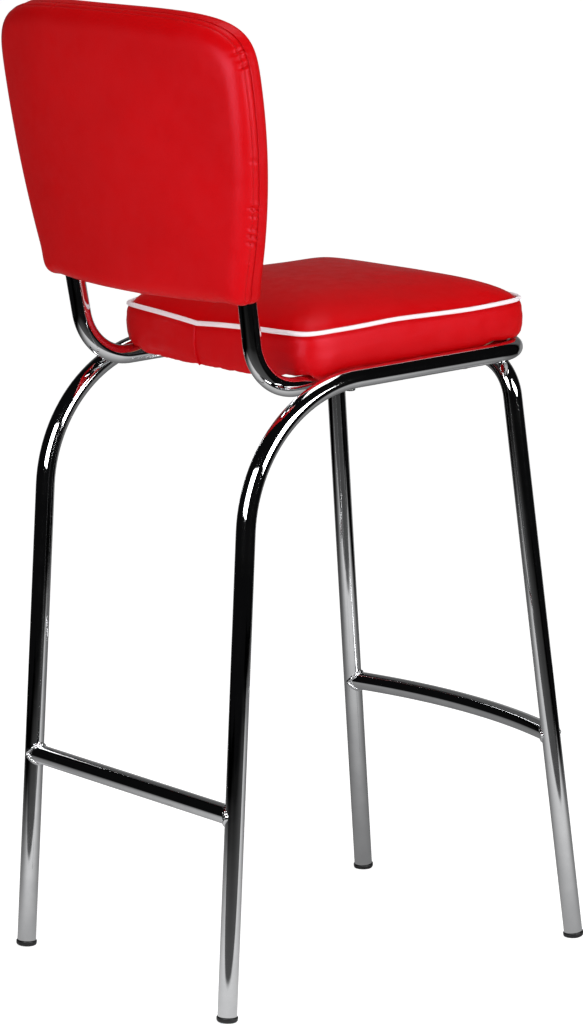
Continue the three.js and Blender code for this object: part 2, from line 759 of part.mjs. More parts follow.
function addBackrest() {
  const rearFace = panelThickness / 2;
  const frontFace = -rearFace;
  const seam = rearFace - rearEdgeDepth;
  const boardFront = panelBoardFront;
  const boardRear = panelBoardFront + panelBoardThickness;
  const foamInset = skinThickness + skinGap;
  const rear = (thickness) => rolledFace(rearFace, 1, rearEdgeInset, rearEdgeDepth, thickness);
  const front = (thickness) => rolledFace(frontFace, -1, frontEdgeInset, frontEdgeDepth, thickness);

  const boardRows = (depth) => [...flatRows(depth), panelRing(panelBoardInset, depth)];
  const screwBores = screwPlaces.map(({ point, axis }) => rod(
    point.clone(),
    point.clone().addScaledVector(axis, tubeDiameter * 1.5),
    screwRadius + gap,
    boltSides,
  ));
  const panelBoard = ringSolid([...boardRows(boardRear), ...boardRows(boardFront).reverse()]);
  add('backrest_board', cut(panelBoard, screwBores), plywood);

  // Channels for the tubes, open toward the board, with pockets for the screw heads
  const channels = [-1, 1].flatMap((side) => {
    const flip = (point) => (side > 0 ? mirrored(point) : point);
    const low = flip(backEntry.clone().addScaledVector(backAxis, -backBendRadius));
    const high = flip(backTop.clone().addScaledVector(backAxis, overrun));
    const bore = rod(low, high, tubeRadius + skinGap, tubeSides);
    const slot = new THREE.BoxGeometry(2 * (tubeRadius + skinGap), low.distanceTo(high), tubeDiameter);
    const along = high.clone().sub(low).normalize();
    const rearward = rearwardAt(low);
    const across = new THREE.Vector3().crossVectors(along, rearward).normalize();
    const turn = new THREE.Matrix4().makeBasis(across, along, across.clone().cross(along));
    slot.applyMatrix4(turn);
    const middle = low.clone().add(high).multiplyScalar(0.5).addScaledVector(rearward, tubeRadius);
    return [bore, slot.translate(middle.x, middle.y, middle.z)];
  });
  const headPockets = screwPlaces.map(({ point, axis }) => rod(
    point.clone().addScaledVector(axis, -tubeRadius - screwHeadHeight - 2 * gap),
    point,
    screwHeadRadius + gap,
    boltSides,
  ));
  const frontFoamRings = [
    ...front(foamInset),
    panelRing(foamInset, seam - gap),
    panelRing(panelBoardInset - gap, boardFront - gap),
    ...flatRows(boardFront - gap).reverse(),
  ];
  const frontFoam = ringSolid(frontFoamRings);
  add('backrest_front_foam', cut(frontFoam, [...channels, ...headPockets]), foam);

  // The rear foam wraps the board's edge as far as the seam
  const rearFoamRings = [
    ...rear(foamInset),
    panelRing(panelBoardInset - gap, boardFront),
    panelRing(panelBoardInset - gap, boardRear + gap),
    ...flatRows(boardRear + gap).reverse(),
  ];
  add('backrest_rear_foam', ringSolid(rearFoamRings), foam);

  const tubeHoles = [-1, 1].map((side) => {
    const low = backEntry.clone().addScaledVector(backAxis, -backBendRadius);
    const ends = [low, backEntry.clone()].map((point) => (side > 0 ? mirrored(point) : point));
    return rod(ends[0], ends[1], tubeRadius + skinGap, turnedSides);
  });
  const rearSkin = ringSolid([...rear(0), ...rear(skinThickness).reverse()]);
  add('backrest_cover_rear', rearSkin, redVinyl);
  const wall = seam - gap;
  const frontSkin = ringSolid([
    ...front(0),
    panelRing(0, wall),
    panelRing(skinThickness, wall),
    ...front(skinThickness).reverse(),
  ]);
  add('backrest_cover_front', cut(frontSkin, tubeHoles), redVinyl);

  screwPlaces.forEach(({ point, axis, depth }, i) => {
    const headBase = -tubeRadius - gap - screwHeadHeight;
    const tip = boardRear - panelBoardThickness / 4 - depth;
    const head = rod(
      point.clone().addScaledVector(axis, headBase),
      point.clone().addScaledVector(axis, headBase + screwHeadHeight),
      screwHeadRadius,
      boltSides,
    );
    const shank = rod(
      point.clone().addScaledVector(axis, headBase + screwHeadHeight / 2),
      point.clone().addScaledVector(axis, tip),
      screwRadius,
      boltSides,
    );
    add(`backrest_screw_${i + 1}`, join(head, shank), zincPlate);
  });
}

addFrame();
addBackTubes();
addLegCaps();
addSeat();
addSeatFasteners();
addBackrest();

// The origin is the middle of the stool's bounding box, on the floor
const extent = new THREE.Box3().setFromObject(stool).getCenter(vector(0, 0, 0));
stool.position.set(-extent.x, -extent.y, 0);
stool.updateMatrixWorld(true);

export default stool;
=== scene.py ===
"""Diner counter stool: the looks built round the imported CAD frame. The scene is in metres. Sizes
repeated from the CAD are in millimetres, which in_scene(), on_seat() and on_panel() turn into metres."""
import math

import bpy
import numpy as np
from mathutils import Matrix, Vector, noise


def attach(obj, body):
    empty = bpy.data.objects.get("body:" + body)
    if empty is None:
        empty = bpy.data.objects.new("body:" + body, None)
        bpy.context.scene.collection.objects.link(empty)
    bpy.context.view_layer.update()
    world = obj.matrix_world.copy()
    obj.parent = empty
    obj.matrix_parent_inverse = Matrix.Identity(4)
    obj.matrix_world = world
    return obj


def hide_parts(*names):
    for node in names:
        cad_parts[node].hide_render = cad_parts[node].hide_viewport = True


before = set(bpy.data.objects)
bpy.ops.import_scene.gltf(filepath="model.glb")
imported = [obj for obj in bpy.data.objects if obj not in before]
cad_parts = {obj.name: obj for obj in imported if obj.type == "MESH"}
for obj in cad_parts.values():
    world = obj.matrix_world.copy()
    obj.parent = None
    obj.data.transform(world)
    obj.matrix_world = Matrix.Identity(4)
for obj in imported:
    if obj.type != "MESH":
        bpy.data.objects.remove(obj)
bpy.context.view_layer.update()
scene = bpy.context.scene

MM = 0.001
# The CAD frame is centred on the stool's box, so its own sizes shift by this much along Y
SHIFT_Y = -16.483

# Camera, fitted to the photograph
camera_data = bpy.data.cameras.new("camera")
camera = bpy.data.objects.new("camera", camera_data)
scene.collection.objects.link(camera)
camera_data.sensor_fit = "VERTICAL"
camera_data.sensor_height = 36
camera_data.lens = 148.45
camera_data.clip_start = 0.05
camera_data.clip_end = 200
cam_right = Vector((-0.63369, -0.77359, 0.0)).normalized()
cam_back = Vector((-0.75937, 0.62205, 0.19082)).normalized()
cam_up = cam_back.cross(cam_right).normalized()
cam_right = cam_up.cross(cam_back).normalized()
turn = Matrix((cam_right, cam_up, cam_back)).transposed().to_4x4()
camera.matrix_world = Matrix.Translation((-3.7077, 3.0341, 1.4481)) @ turn
scene.camera = camera


# Mesh making
def new_object(name, verts, faces, material=None, smooth=True):
    mesh = bpy.data.meshes.new(name)
    mesh.from_pydata([tuple(v) for v in verts], [], [tuple(int(i) for i in f) for f in faces])
    mesh.validate()
    mesh.update()
    if smooth:
        mesh.polygons.foreach_set("use_smooth", [len(face.vertices) < 5 for face in mesh.polygons])
    if material is not None:
        mesh.materials.append(material)
    obj = bpy.data.objects.new(name, mesh)
    scene.collection.objects.link(obj)
    return obj


def dressed(piece, slot, *nodes):
    """A still piece: it rides on the root and takes the place of the CAD nodes. slot is not used."""
    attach(piece, "root")
    if nodes:
        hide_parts(*nodes)


def grid_faces(rows, cols, close_rows=False, close_cols=True):
    faces = []
    for i in range(rows if close_rows else rows - 1):
        for j in range(cols if close_cols else cols - 1):
            a = i * cols + j
            b = i * cols + (j + 1) % cols
            c = ((i + 1) % rows) * cols + (j + 1) % cols
            d = ((i + 1) % rows) * cols + j
            faces.append((a, b, c, d))
    return faces


def unit(v):
    return v / np.linalg.norm(v)


def bent_path(corners, radii, step=math.radians(3)):
    """Points along a centre line with a true arc at each inner corner."""
    corners = [np.asarray(c, float) for c in corners]
    points = [corners[0]]
    for i, radius in enumerate(radii):
        corner = corners[i + 1]
        before, after = unit(corner - corners[i]), unit(corners[i + 2] - corner)
        turned = math.acos(np.clip(before @ after, -1, 1))
        start = corner - before * radius * math.tan(turned / 2)
        inward = unit(after - before * (after @ before))
        count = max(2, int(turned / step))
        for k in range(count + 1):
            a = turned * k / count
            points.append(start + before * radius * math.sin(a) + inward * radius * (1 - math.cos(a)))
    points.append(corners[-1])
    return np.array(points)


def frames(points, closed=False):
    """Two directions square to the line at each point, turning as little as they can."""
    n = len(points)
    if closed:
        tangents = np.roll(points, -1, 0) - np.roll(points, 1, 0)
    else:
        tangents = np.gradient(points, axis=0)
        tangents[0], tangents[-1] = points[1] - points[0], points[-1] - points[-2]
        for i in range(1, n - 1):
            tangents[i] = unit(points[i] - points[i - 1]) + unit(points[i + 1] - points[i])
    tangents = tangents / np.linalg.norm(tangents, axis=1)[:, None]
    first = np.cross(tangents[0], [0.0, 0.0, 1.0])
    if np.linalg.norm(first) < 0.1:
        first = np.cross(tangents[0], [0.0, 1.0, 0.0])
    normals = [unit(first)]
    for i in range(1, n):
        across = normals[-1] - tangents[i] * (normals[-1] @ tangents[i])
        normals.append(unit(across))
    normals = np.array(normals)
    return normals, np.cross(tangents, normals)


def swept(points, radius, sides, closed=False):
    """Vertices and faces of a round section swept along points. radius is one number or one per point."""
    points = np.asarray(points, float)
    normals, sides_dir = frames(points, closed)
    radius = np.broadcast_to(np.asarray(radius, float), (len(points),))
    angles = np.arange(sides) * 2 * math.pi / sides
    ring = np.cos(angles)[None, :, None] * normals[:, None, :]
    ring = ring + np.sin(angles)[None, :, None] * sides_dir[:, None, :]
    verts = points[:, None, :] + ring * radius[:, None, None]
    faces = grid_faces(len(points), sides, close_rows=closed)
    if not closed:
        faces.append(tuple(range(sides))[::-1])
        last = (len(points) - 1) * sides
        faces.append(tuple(last + k for k in range(sides)))
    return verts.reshape(-1, 3), faces


def joined(parts):
    verts, faces, start = [], [], 0
    for v, f in parts:
        verts.append(np.asarray(v))
        faces += [tuple(i + start for i in face) for face in f]
        start += len(v)
    return np.concatenate(verts), faces


def mirrored(v):
    return np.asarray(v) * [-1, 1, 1]


def coords(mesh):
    out = np.empty(len(mesh.vertices) * 3)
    mesh.vertices.foreach_get("co", out)
    return out.reshape(-1, 3)


def set_coords(mesh, points):
    mesh.vertices.foreach_set("co", np.ascontiguousarray(points, dtype=float).ravel())
    mesh.update()


def soft_noise(places, seed):
    """Smooth noise from about -1 to 1 at places along a line or on a sheet, in units of the noise's grain."""
    places = np.atleast_2d(np.asarray(places, float).T).T
    flat = np.zeros((len(places), 3))
    flat[:, :places.shape[1]] = places
    flat[:, 2] += seed
    return np.array([noise.noise(Vector(p)) for p in flat])


SWELL_PRESSURE, SWELL_FRAMES = 2.0, 20
# No point of a cover moves further than this, in metres
SWELL_CAP = 0.002


def swollen(obj, held):
    """The foam swells its cover, which is held where it is sewn or lies on a board, and the shape is kept."""
    start = coords(obj.data)
    group = obj.vertex_groups.new(name="held")
    for weight in np.unique(held):
        if weight > 0:
            group.add(np.nonzero(held == weight)[0].tolist(), float(weight), "REPLACE")
    cloth = obj.modifiers.new("swell", "CLOTH")
    settings = cloth.settings
    settings.quality = 3
    settings.mass = 0.3
    settings.tension_stiffness = settings.compression_stiffness = 25
    settings.shear_stiffness = 12
    settings.bending_stiffness = 4
    settings.use_pressure = True
    settings.uniform_pressure_force = SWELL_PRESSURE
    settings.vertex_group_mass = "held"
    settings.effector_weights.gravity = 0
    cloth.collision_settings.use_collision = False
    for frame_number in range(1, SWELL_FRAMES + 1):
        scene.frame_set(frame_number)
    done = obj.evaluated_get(bpy.context.evaluated_depsgraph_get()).to_mesh()
    moved = coords(done) - start
    obj.modifiers.remove(cloth)
    obj.vertex_groups.clear()
    scene.frame_set(1)
    reach = np.linalg.norm(moved, axis=1)[:, None]
    print("swell", obj.name, "median", round(float(np.median(reach)) * 1000, 2), "mm, most",
          round(float(reach.max()) * 1000, 2), "mm")
    set_coords(obj.data, start + moved * np.minimum(1, SWELL_CAP / np.maximum(reach, 1e-9)))


# Materials
def material(name, base, roughness, metallic=0.0, **inputs):
    mat = bpy.data.materials.new(name)
    mat.use_nodes = True
    shader = mat.node_tree.nodes["Principled BSDF"]
    shader.inputs["Base Color"].default_value = (*base, 1)
    shader.inputs["Roughness"].default_value = roughness
    shader.inputs["Metallic"].default_value = metallic
    for key, value in inputs.items():
        shader.inputs[key.replace("_", " ")].default_value = value
    return mat, mat.node_tree, shader


def node(tree, kind, links):
    """A new node, with a source linked to each named input."""
    made = tree.nodes.new(kind)
    for key, source in links.items():
        tree.links.new(source, made.inputs[key])
    return made


def object_coords(tree):
    return tree.nodes.new("ShaderNodeTexCoord").outputs["Object"]


def noise_texture(tree, scale, detail, roughness, coords):
    made = node(tree, "ShaderNodeTexNoise", {"Vector": coords})
    made.inputs["Scale"].default_value = scale
    made.inputs["Detail"].default_value = detail
    made.inputs["Roughness"].default_value = roughness
    return made


def ranged(tree, source, low, high, from_low=0.0, from_high=1.0):
    made = tree.nodes.new("ShaderNodeMapRange")
    tree.links.new(source, made.inputs["Value"])
    for key, value in (("From Min", from_low), ("From Max", from_high), ("To Min", low), ("To Max", high)):
        made.inputs[key].default_value = value
    return made.outputs["Result"]


def ramp(tree, source, stops):
    made = tree.nodes.new("ShaderNodeValToRGB")
    tree.links.new(source, made.inputs["Fac"])
    while len(made.color_ramp.elements) < len(stops):
        made.color_ramp.elements.new(0.5)
    for element, (place, colour) in zip(made.color_ramp.elements, stops):
        element.position = place
        element.color = (*colour, 1)
    return made.outputs["Color"]


def bump(tree, shader, height, strength, distance, under=None):
    made = node(tree, "ShaderNodeBump", {"Height": height})
    made.inputs["Strength"].default_value = strength
    made.inputs["Distance"].default_value = distance
    if under is not None:
        tree.links.new(under, made.inputs["Normal"])
    tree.links.new(made.outputs["Normal"], shader.inputs["Normal"])
    return made.outputs["Normal"]


def chrome_material():
    mat, tree, shader = material("chrome_plate", (0.80, 0.805, 0.82), 0.05, 1.0)
    coords = object_coords(tree)
    smudge = noise_texture(tree, 34, 5, 0.62, coords)
    fine = noise_texture(tree, 420, 2, 0.5, coords)
    tree.links.new(ranged(tree, smudge.outputs["Fac"], 0.035, 0.085, 0.3, 0.75), shader.inputs["Roughness"])
    tone = ramp(tree, smudge.outputs["Fac"], [(0.25, (0.74, 0.745, 0.76)), (0.7, (0.84, 0.845, 0.855))])
    tree.links.new(tone, shader.inputs["Base Color"])
    wave = noise_texture(tree, 26, 2, 0.4, coords)
    soft = bump(tree, shader, wave.outputs["Fac"], 0.12, 0.0008)
    bump(tree, shader, fine.outputs["Fac"], 0.02, 0.00008, soft)
    return mat


def leather_bump(tree, shader, coords, grain):
    """Pressed grain of upholstery vinyl: pebbles about a millimetre across, and soft unevenness."""
    warp = noise_texture(tree, 240, 2, 0.5, coords)
    mixed = tree.nodes.new("ShaderNodeVectorMath")
    mixed.operation = "MULTIPLY_ADD"
    tree.links.new(warp.outputs["Color"], mixed.inputs[0])
    mixed.inputs[1].default_value = (0.0009, 0.0009, 0.0009)
    tree.links.new(coords, mixed.inputs[2])
    pebble = node(tree, "ShaderNodeTexVoronoi", {"Vector": mixed.outputs["Vector"]})
    pebble.feature = "SMOOTH_F1"
    pebble.inputs["Scale"].default_value = 900
    pebble.inputs["Smoothness"].default_value = 0.6
    crease = node(tree, "ShaderNodeTexVoronoi", {"Vector": mixed.outputs["Vector"]})
    crease.feature = "DISTANCE_TO_EDGE"
    crease.inputs["Scale"].default_value = 430
    sag = noise_texture(tree, 18, 3, 0.5, coords)
    soft = bump(tree, shader, sag.outputs["Fac"], 0.22, 0.004)
    lines = bump(tree, shader, ranged(tree, crease.outputs["Distance"], 0, 1, 0.0, 0.12),
                 0.16 * grain, 0.00022, soft)
    bump(tree, shader, pebble.outputs["Distance"], 0.20 * grain, 0.00022, lines)
    return crease.outputs["Distance"]


def vinyl_material(name, dark, mid, light, roughness, grain, shine, tint):
    """grain is how deep the pressed grain is, shine how strong the gloss is, and tint its colour."""
    mat, tree, shader = material(name, mid, roughness, 0.0, Specular_IOR_Level=shine, Specular_Tint=tint)
    coords = object_coords(tree)
    crease = leather_bump(tree, shader, coords, grain)
    cloud = noise_texture(tree, 9, 4, 0.55, coords)
    tone = ramp(tree, cloud.outputs["Fac"], [(0.3, dark), (0.5, mid), (0.72, light)])
    # Painted shade: the base colour is darkened by up to a tenth along the creases of the grain
    line = ranged(tree, crease, 0.9, 1.0, 0.0, 0.05)
    shaded = tree.nodes.new("ShaderNodeVectorMath")
    shaded.operation = "SCALE"
    tree.links.new(tone, shaded.inputs[0])
    tree.links.new(line, shaded.inputs["Scale"])
    tree.links.new(shaded.outputs["Vector"], shader.inputs["Base Color"])
    worn = noise_texture(tree, 55, 4, 0.6, coords)
    tree.links.new(ranged(tree, worn.outputs["Fac"], roughness - 0.05, roughness + 0.07, 0.3, 0.7),
                   shader.inputs["Roughness"])
    return mat


def plain_noise_material(name, low, high, roughness, metallic, scale, depth, strength=0.3):
    mat, tree, shader = material(name, high, roughness, metallic)
    coords = object_coords(tree)
    grain = noise_texture(tree, scale, 4, 0.6, coords)
    tree.links.new(ramp(tree, grain.outputs["Fac"], [(0.3, low), (0.7, high)]), shader.inputs["Base Color"])
    tree.links.new(ranged(tree, grain.outputs["Fac"], roughness - 0.06, roughness + 0.08, 0.3, 0.7),
                   shader.inputs["Roughness"])
    bump(tree, shader, grain.outputs["Fac"], strength, depth)
    return mat


chrome = chrome_material()
red_vinyl = vinyl_material(
    "red_vinyl", (0.41, 0.0004, 0.0010), (0.43, 0.0005, 0.0013), (0.45, 0.0007, 0.0017), 0.33,
    grain=1.0, shine=0.11, tint=(1, 0.66, 1, 1))
white_vinyl = vinyl_material(
    "white_vinyl", (0.66, 0.58, 0.61), (0.70, 0.62, 0.65), (0.74, 0.67, 0.69), 0.40,
    grain=0.6, shine=0.3, tint=(1, 1, 1, 1))
thread = plain_noise_material(
    "red_thread", (0.30, 0.003, 0.006), (0.46, 0.006, 0.010), 0.6, 0.0, 1800, 0.0001)
thread.node_tree.nodes["Principled BSDF"].inputs["Specular IOR Level"].default_value = 0.12
cap_black = plain_noise_material(
    "cap_black", (0.006, 0.006, 0.007), (0.013, 0.013, 0.014), 0.42, 0.0, 260, 0.0001)
zinc = plain_noise_material(
    "zinc_plate", (0.42, 0.43, 0.43), (0.62, 0.62, 0.60), 0.3, 1.0, 160, 0.00005)
plywood_mat = plain_noise_material(
    "plywood", (0.36, 0.22, 0.11), (0.52, 0.35, 0.19), 0.7, 0.0, 90, 0.0003)
fleece_mat = plain_noise_material(
    "fleece", (0.006, 0.006, 0.007), (0.02, 0.02, 0.022), 0.95, 0.0, 900, 0.0004, 0.8)

# Frame, in the CAD's own sizes: a tube's outer radius, and what the solids keep from each other
TUBE, CLEAR = 11.0, 0.3
# The straight runs of the back tubes, which carry the seat: where they end at the rear
RUN_X, RUN_Y, RUN_Z = 154.0, 187.5, 692.6
# and how far they reach along Y, rise, and close in towards the front
RUN_LENGTH, RUN_RISE, RUN_TAPER = 378.974, 15.9, 7
rail_x, front_y, front_z = 184.0, -195.6, 711.3
rear_foot = np.array([-189.8, 261.2, 0.0])
rear_corner = np.array([-184.0, 221.0, 697.0])
front_corner = np.array([-rail_x, front_y, front_z])
front_foot = np.array([-192.6, -261.2, 0.0])
nest = (2 * TUBE + CLEAR) * math.sqrt(0.5)
hoop_corner = np.array([-157.3, front_y + nest, front_z - nest])
back_entry = np.array([-159.7, 211.7, 838.0])
back_corner = np.array([-RUN_X, RUN_Y, RUN_Z])
back_axis = unit(back_entry - back_corner)
# How far the back tubes go up into the backrest
BACK_INSIDE = 205
back_top = back_entry + back_axis * BACK_INSIDE
run_front = np.array([-147.0, -191.474, 708.5])
# The legs end this far up, in their caps
LEG_END = 6.3


def leg_end(foot, corner):
    return foot + unit(corner - foot) * LEG_END


def leg_point(foot, corner, height):
    return foot + (corner - foot) * (height / corner[2])


def in_scene(points):
    return (np.asarray(points) + [0, SHIFT_Y, 0]) * MM


REAR_BEND, FRONT_BEND, HOOP_BEND, BACK_BEND = 163.5, 58.6, 46, 64
main_line = bent_path(
    [leg_end(rear_foot, rear_corner), rear_corner, front_corner, mirrored(front_corner),
     mirrored(rear_corner), mirrored(leg_end(rear_foot, rear_corner))],
    [REAR_BEND, FRONT_BEND, FRONT_BEND, REAR_BEND])
hoop_line = bent_path(
    [leg_end(front_foot, hoop_corner), hoop_corner, mirrored(hoop_corner),
     mirrored(leg_end(front_foot, hoop_corner))], [HOOP_BEND, HOOP_BEND])
STRETCHER_Z, FOOTREST_Z = 231.3, 248.3
stretcher_end = leg_point(rear_foot, rear_corner, STRETCHER_Z)
foot_end = leg_point(front_foot, hoop_corner, FOOTREST_Z)
# The footrest bows forward by this much
BOW = 25.8
foot_half = abs(foot_end[0])
foot_radius = (foot_half ** 2 + BOW ** 2) / (2 * BOW)
spread = math.asin(foot_half / foot_radius)
rest_angles = np.linspace(-spread, spread, 61)
rest_line = np.stack([
    foot_radius * np.sin(rest_angles),
    foot_end[1] - BOW + foot_radius - foot_radius * np.cos(rest_angles),
    np.full(len(rest_angles), foot_end[2])], 1)


# A tube has one more ring this close to each end, so that its rim stays sharp
END_RING = 0.4


def dense(points, step):
    """The line with points added, so that no two are further apart than step, and one close to each end."""
    out = [points[0], points[0] + unit(points[1] - points[0]) * END_RING]
    for a, b in zip(points, points[1:]):
        count = max(1, math.ceil(np.linalg.norm(b - a) / step))
        out += [a + (b - a) * k / count for k in range(1, count + 1)]
    out.insert(-1, points[-1] + unit(points[-2] - points[-1]) * END_RING)
    return np.array(out)


def tube_piece(name, line, *nodes):
    verts, faces = swept(in_scene(dense(line, 20)), TUBE * MM, 72)
    dressed(new_object(name, verts, faces, chrome), "chrome", *nodes)


tube_piece("main_tube", main_line, "main_frame_tube")
tube_piece("front_hoop", hoop_line, "front_leg_hoop")
bar_end = stretcher_end + [9, 0, 0]
tube_piece("rear_bar", np.linspace(bar_end, mirrored(bar_end), 9), "rear_stretcher")
tube_piece("footrest", rest_line[1:-1], "footrest_bar")
back_line = bent_path([run_front, back_corner, back_top], [BACK_BEND])
tube_piece("back_upright_right", back_line, "back_tube_right")
tube_piece("back_upright_left", mirrored(back_line), "back_tube_left")


# The mean radius of a weld bead
BEAD = 2.3


def weld(name, branch_point, branch_dir, leg_low, leg_high):
    """The bead where a branch tube runs into a leg: a rippled fillet along the line where the two meet."""
    branch_dir = unit(branch_dir)
    leg_dir = unit(leg_high - leg_low)
    e1 = unit(np.cross(branch_dir, [0, 0, 1.0]))
    e2 = np.cross(branch_dir, e1)
    count = 180
    line, radii = [], []
    for k in range(count):
        a = 2 * math.pi * k / count
        start = branch_point + (e1 * math.cos(a) + e2 * math.sin(a)) * (TUBE + CLEAR)
        rel = start - leg_low
        p = rel - leg_dir * (rel @ leg_dir)
        d = branch_dir - leg_dir * (branch_dir @ leg_dir)
        qa, qb, qc = d @ d, 2 * p @ d, p @ p - (TUBE + CLEAR) ** 2
        root = qb * qb - 4 * qa * qc
        t = (-qb + math.sqrt(max(root, 0.0))) / (2 * qa)
        line.append(start + branch_dir * t)
        uneven = noise.noise(Vector((math.cos(a) * 2.1, math.sin(a) * 2.1, 3.7)))
        ripple = 0.22 * math.sin(31 * a) + 0.25 * uneven
        radii.append(BEAD * (1 + 0.35 * ripple))
    verts, faces = swept(in_scene(line), np.array(radii) * MM, 14, closed=True)
    dressed(new_object(name, verts, faces, chrome), "chrome")


for place, point, direction, low, high in (
        ("rear", stretcher_end, np.array([1.0, 0, 0]), rear_foot, rear_corner),
        ("front", foot_end, unit(rest_line[2] - rest_line[0]), front_foot, hoop_corner)):
    weld("weld_%s_right" % place, point, direction, low, high)
    weld("weld_%s_left" % place, mirrored(point), mirrored(direction), mirrored(low), mirrored(high))


def lathe(profile, base, axis, sides):
    axis = unit(axis)
    e1 = unit(np.cross(axis, [0, 1.0, 0]))
    e2 = np.cross(axis, e1)
    verts = []
    for r, h in profile:
        for k in range(sides):
            a = 2 * math.pi * k / sides
            verts.append(base + axis * h + (e1 * math.cos(a) + e2 * math.sin(a)) * r)
    faces = grid_faces(len(profile), sides)
    faces.append(tuple(range(sides))[::-1])
    faces.append(tuple((len(profile) - 1) * sides + k for k in range(sides)))
    return np.array(verts), faces


def cap_profile():
    """A domed foot: flat in the middle of its sole, rolled at the rim, with a lip against the tube."""
    points = [(0.4, -0.35), (8.8, -0.35)]
    for k in range(9):
        a = math.pi / 2 * k / 8
        points.append((8.9 + 3.2 * math.sin(a), 2.9 - 3.2 * math.cos(a)))
    points += [(12.15, 4.6), (12.1, 5.3), (11.7, 5.85), (11.1, 6.05), (10.2, 6.1), (9.0, 6.1)]
    # The stem, inside the tube
    points += [(9.0, 20), (8.0, 24)]
    return points


for place, foot, corner in (("rear_right", rear_foot, rear_corner), ("front_right", front_foot, hoop_corner)):
    for hand, flip in (("right", False), ("left", True)):
        name = place.replace("right", hand)
        verts, faces = lathe(cap_profile(), foot, corner - foot, 48)
        verts[:, 2] = np.maximum(verts[:, 2], 0.0)
        if flip:
            verts = mirrored(verts)
            faces = [f[::-1] for f in faces]
        piece = new_object("foot_cap_" + name, in_scene(verts), faces, cap_black)
        dressed(piece, "cap_black", "leg_cap_" + name)

# Seat, which lies on the straight runs of the back tubes
tilt = math.atan2(RUN_RISE, RUN_LENGTH)
seat_height = RUN_Z + RUN_Y * math.tan(tilt) + (TUBE + CLEAR) / math.cos(tilt)


def on_seat(points):
    """Points given as x, y and height over the seat's own plane, in scene metres."""
    p = np.asarray(points, float)
    c, s = math.cos(-tilt), math.sin(-tilt)
    x, y, h = p[..., 0], p[..., 1], p[..., 2]
    out = np.stack([x, y * c - h * s + SHIFT_Y, y * s + h * c + seat_height], -1)
    return out * MM


SEAT_REAR, SEAT_FRONT, SEAT_HALF = 133.3, -196.8, 176.4
SEAT_CY, SEAT_HD = (SEAT_REAR + SEAT_FRONT) / 2, (SEAT_REAR - SEAT_FRONT) / 2
# How far the seat's rear bows out, and the middle of its board
SEAT_BOW, BOARD_CY = 9.4, -30.5
# A plan is half the width, half the depth, the middle, the bow of the rear and of the front, the flare,
# and a power that makes its corners squarer
seat_plan = (SEAT_HALF, SEAT_HD, SEAT_CY, SEAT_BOW, 5.3, 5.0, 11.0)
board_plan = (161.0, 150.5, BOARD_CY, 8.0, 4.0, 0.0, 8.0)


def plan_point(plan, turned, inset):
    """The point of a plan's outline at each turn round its middle, moved in by inset."""
    half, depth, centre, rear, front, flare, power = plan
    angle = turned + 0.6 * np.sin(4 * turned) / 4
    across, along = np.cos(angle), np.sin(angle)
    reach = (np.abs(across) ** power + np.abs(along) ** power) ** (-1 / power)
    u, v = across * reach, along * reach
    bows = np.where(v > 0, rear, front)
    return (half - flare * v - inset) * u, centre + (depth + bows * (1 - u * u) - inset) * v


def smoothstep(value, low, high):
    t = np.clip((value - low) / (high - low), 0, 1)
    return t * t * (3 - 2 * t)


# The band is joined a little off the middle of the rear
SEWN_X = 10.0


PIPING_HIGH = 47.7


def piping_height(x, y):
    """How high the piping runs: it dips at the rear, and waves a little along the sides."""
    near = np.clip(1 - np.abs(x - SEWN_X * smoothstep(y, 60, 133)) / 116, 0, 1)
    dip = 5.6 * near * (0.28 + 0.72 * near) * smoothstep(y, SEAT_CY, SEAT_REAR)
    side = smoothstep(np.abs(x), 140, 165)
    wave = 1.4 * np.exp(-((y - 5) / 42) ** 2) - 1.4 * np.exp(-((y + 108) / 48) ** 2)
    wave = wave - 1.1 * smoothstep(y, 85, 135)
    return PIPING_HIGH - dip + side * wave


def run_x(y):
    """How far out the straight runs of the back tubes are."""
    return RUN_X - RUN_TAPER * (RUN_Y - y) / RUN_LENGTH


def rim_height(x, y):
    """How high the lower edge of the band is."""
    at_rear = smoothstep(y, 114, 132.1)
    hang = 6 * (1 - smoothstep(np.abs(x), 112, 138))
    lift = -0.6 * (1 - smoothstep(np.abs(np.abs(x) - run_x(SEAT_REAR)), 12, 24))
    at_front = 1 - smoothstep(y, -140, -110)
    corner = 7.5 * smoothstep(np.abs(x), 160, 167) * smoothstep(y, 70, 108)
    return 0.5 + 3.4 * at_front + at_rear * (lift - hang) - corner


def disc_grid(half_count):
    """A square grid read as nested squares: each point's share of the way out and its turn."""
    n = 2 * half_count
    points, index = [], {}
    for j in range(n + 1):
        for i in range(n + 1):
            u, v = i / half_count - 1, j / half_count - 1
            share = max(abs(u), abs(v))
            if share < 1e-9:
                q = 0.0
            elif abs(u) >= abs(v):
                q = (v / share) if u > 0 else 4 - v / share
            else:
                q = 2 - u / share if v > 0 else 6 + u / share
            index[(i, j)] = len(points)
            points.append((share, q / 8 * 2 * math.pi))
    faces = [(index[(i, j)], index[(i + 1, j)], index[(i + 1, j + 1)], index[(i, j + 1)])
             for j in range(n) for i in range(n)]
    edge = [index[(n, j)] for j in range(half_count, n)] + [index[(i, n)] for i in range(n, 0, -1)]
    edge += [index[(0, j)] for j in range(n, 0, -1)] + [index[(i, 0)] for i in range(0, n)]
    edge += [index[(n, j)] for j in range(0, half_count)]
    return np.array(points), faces, edge


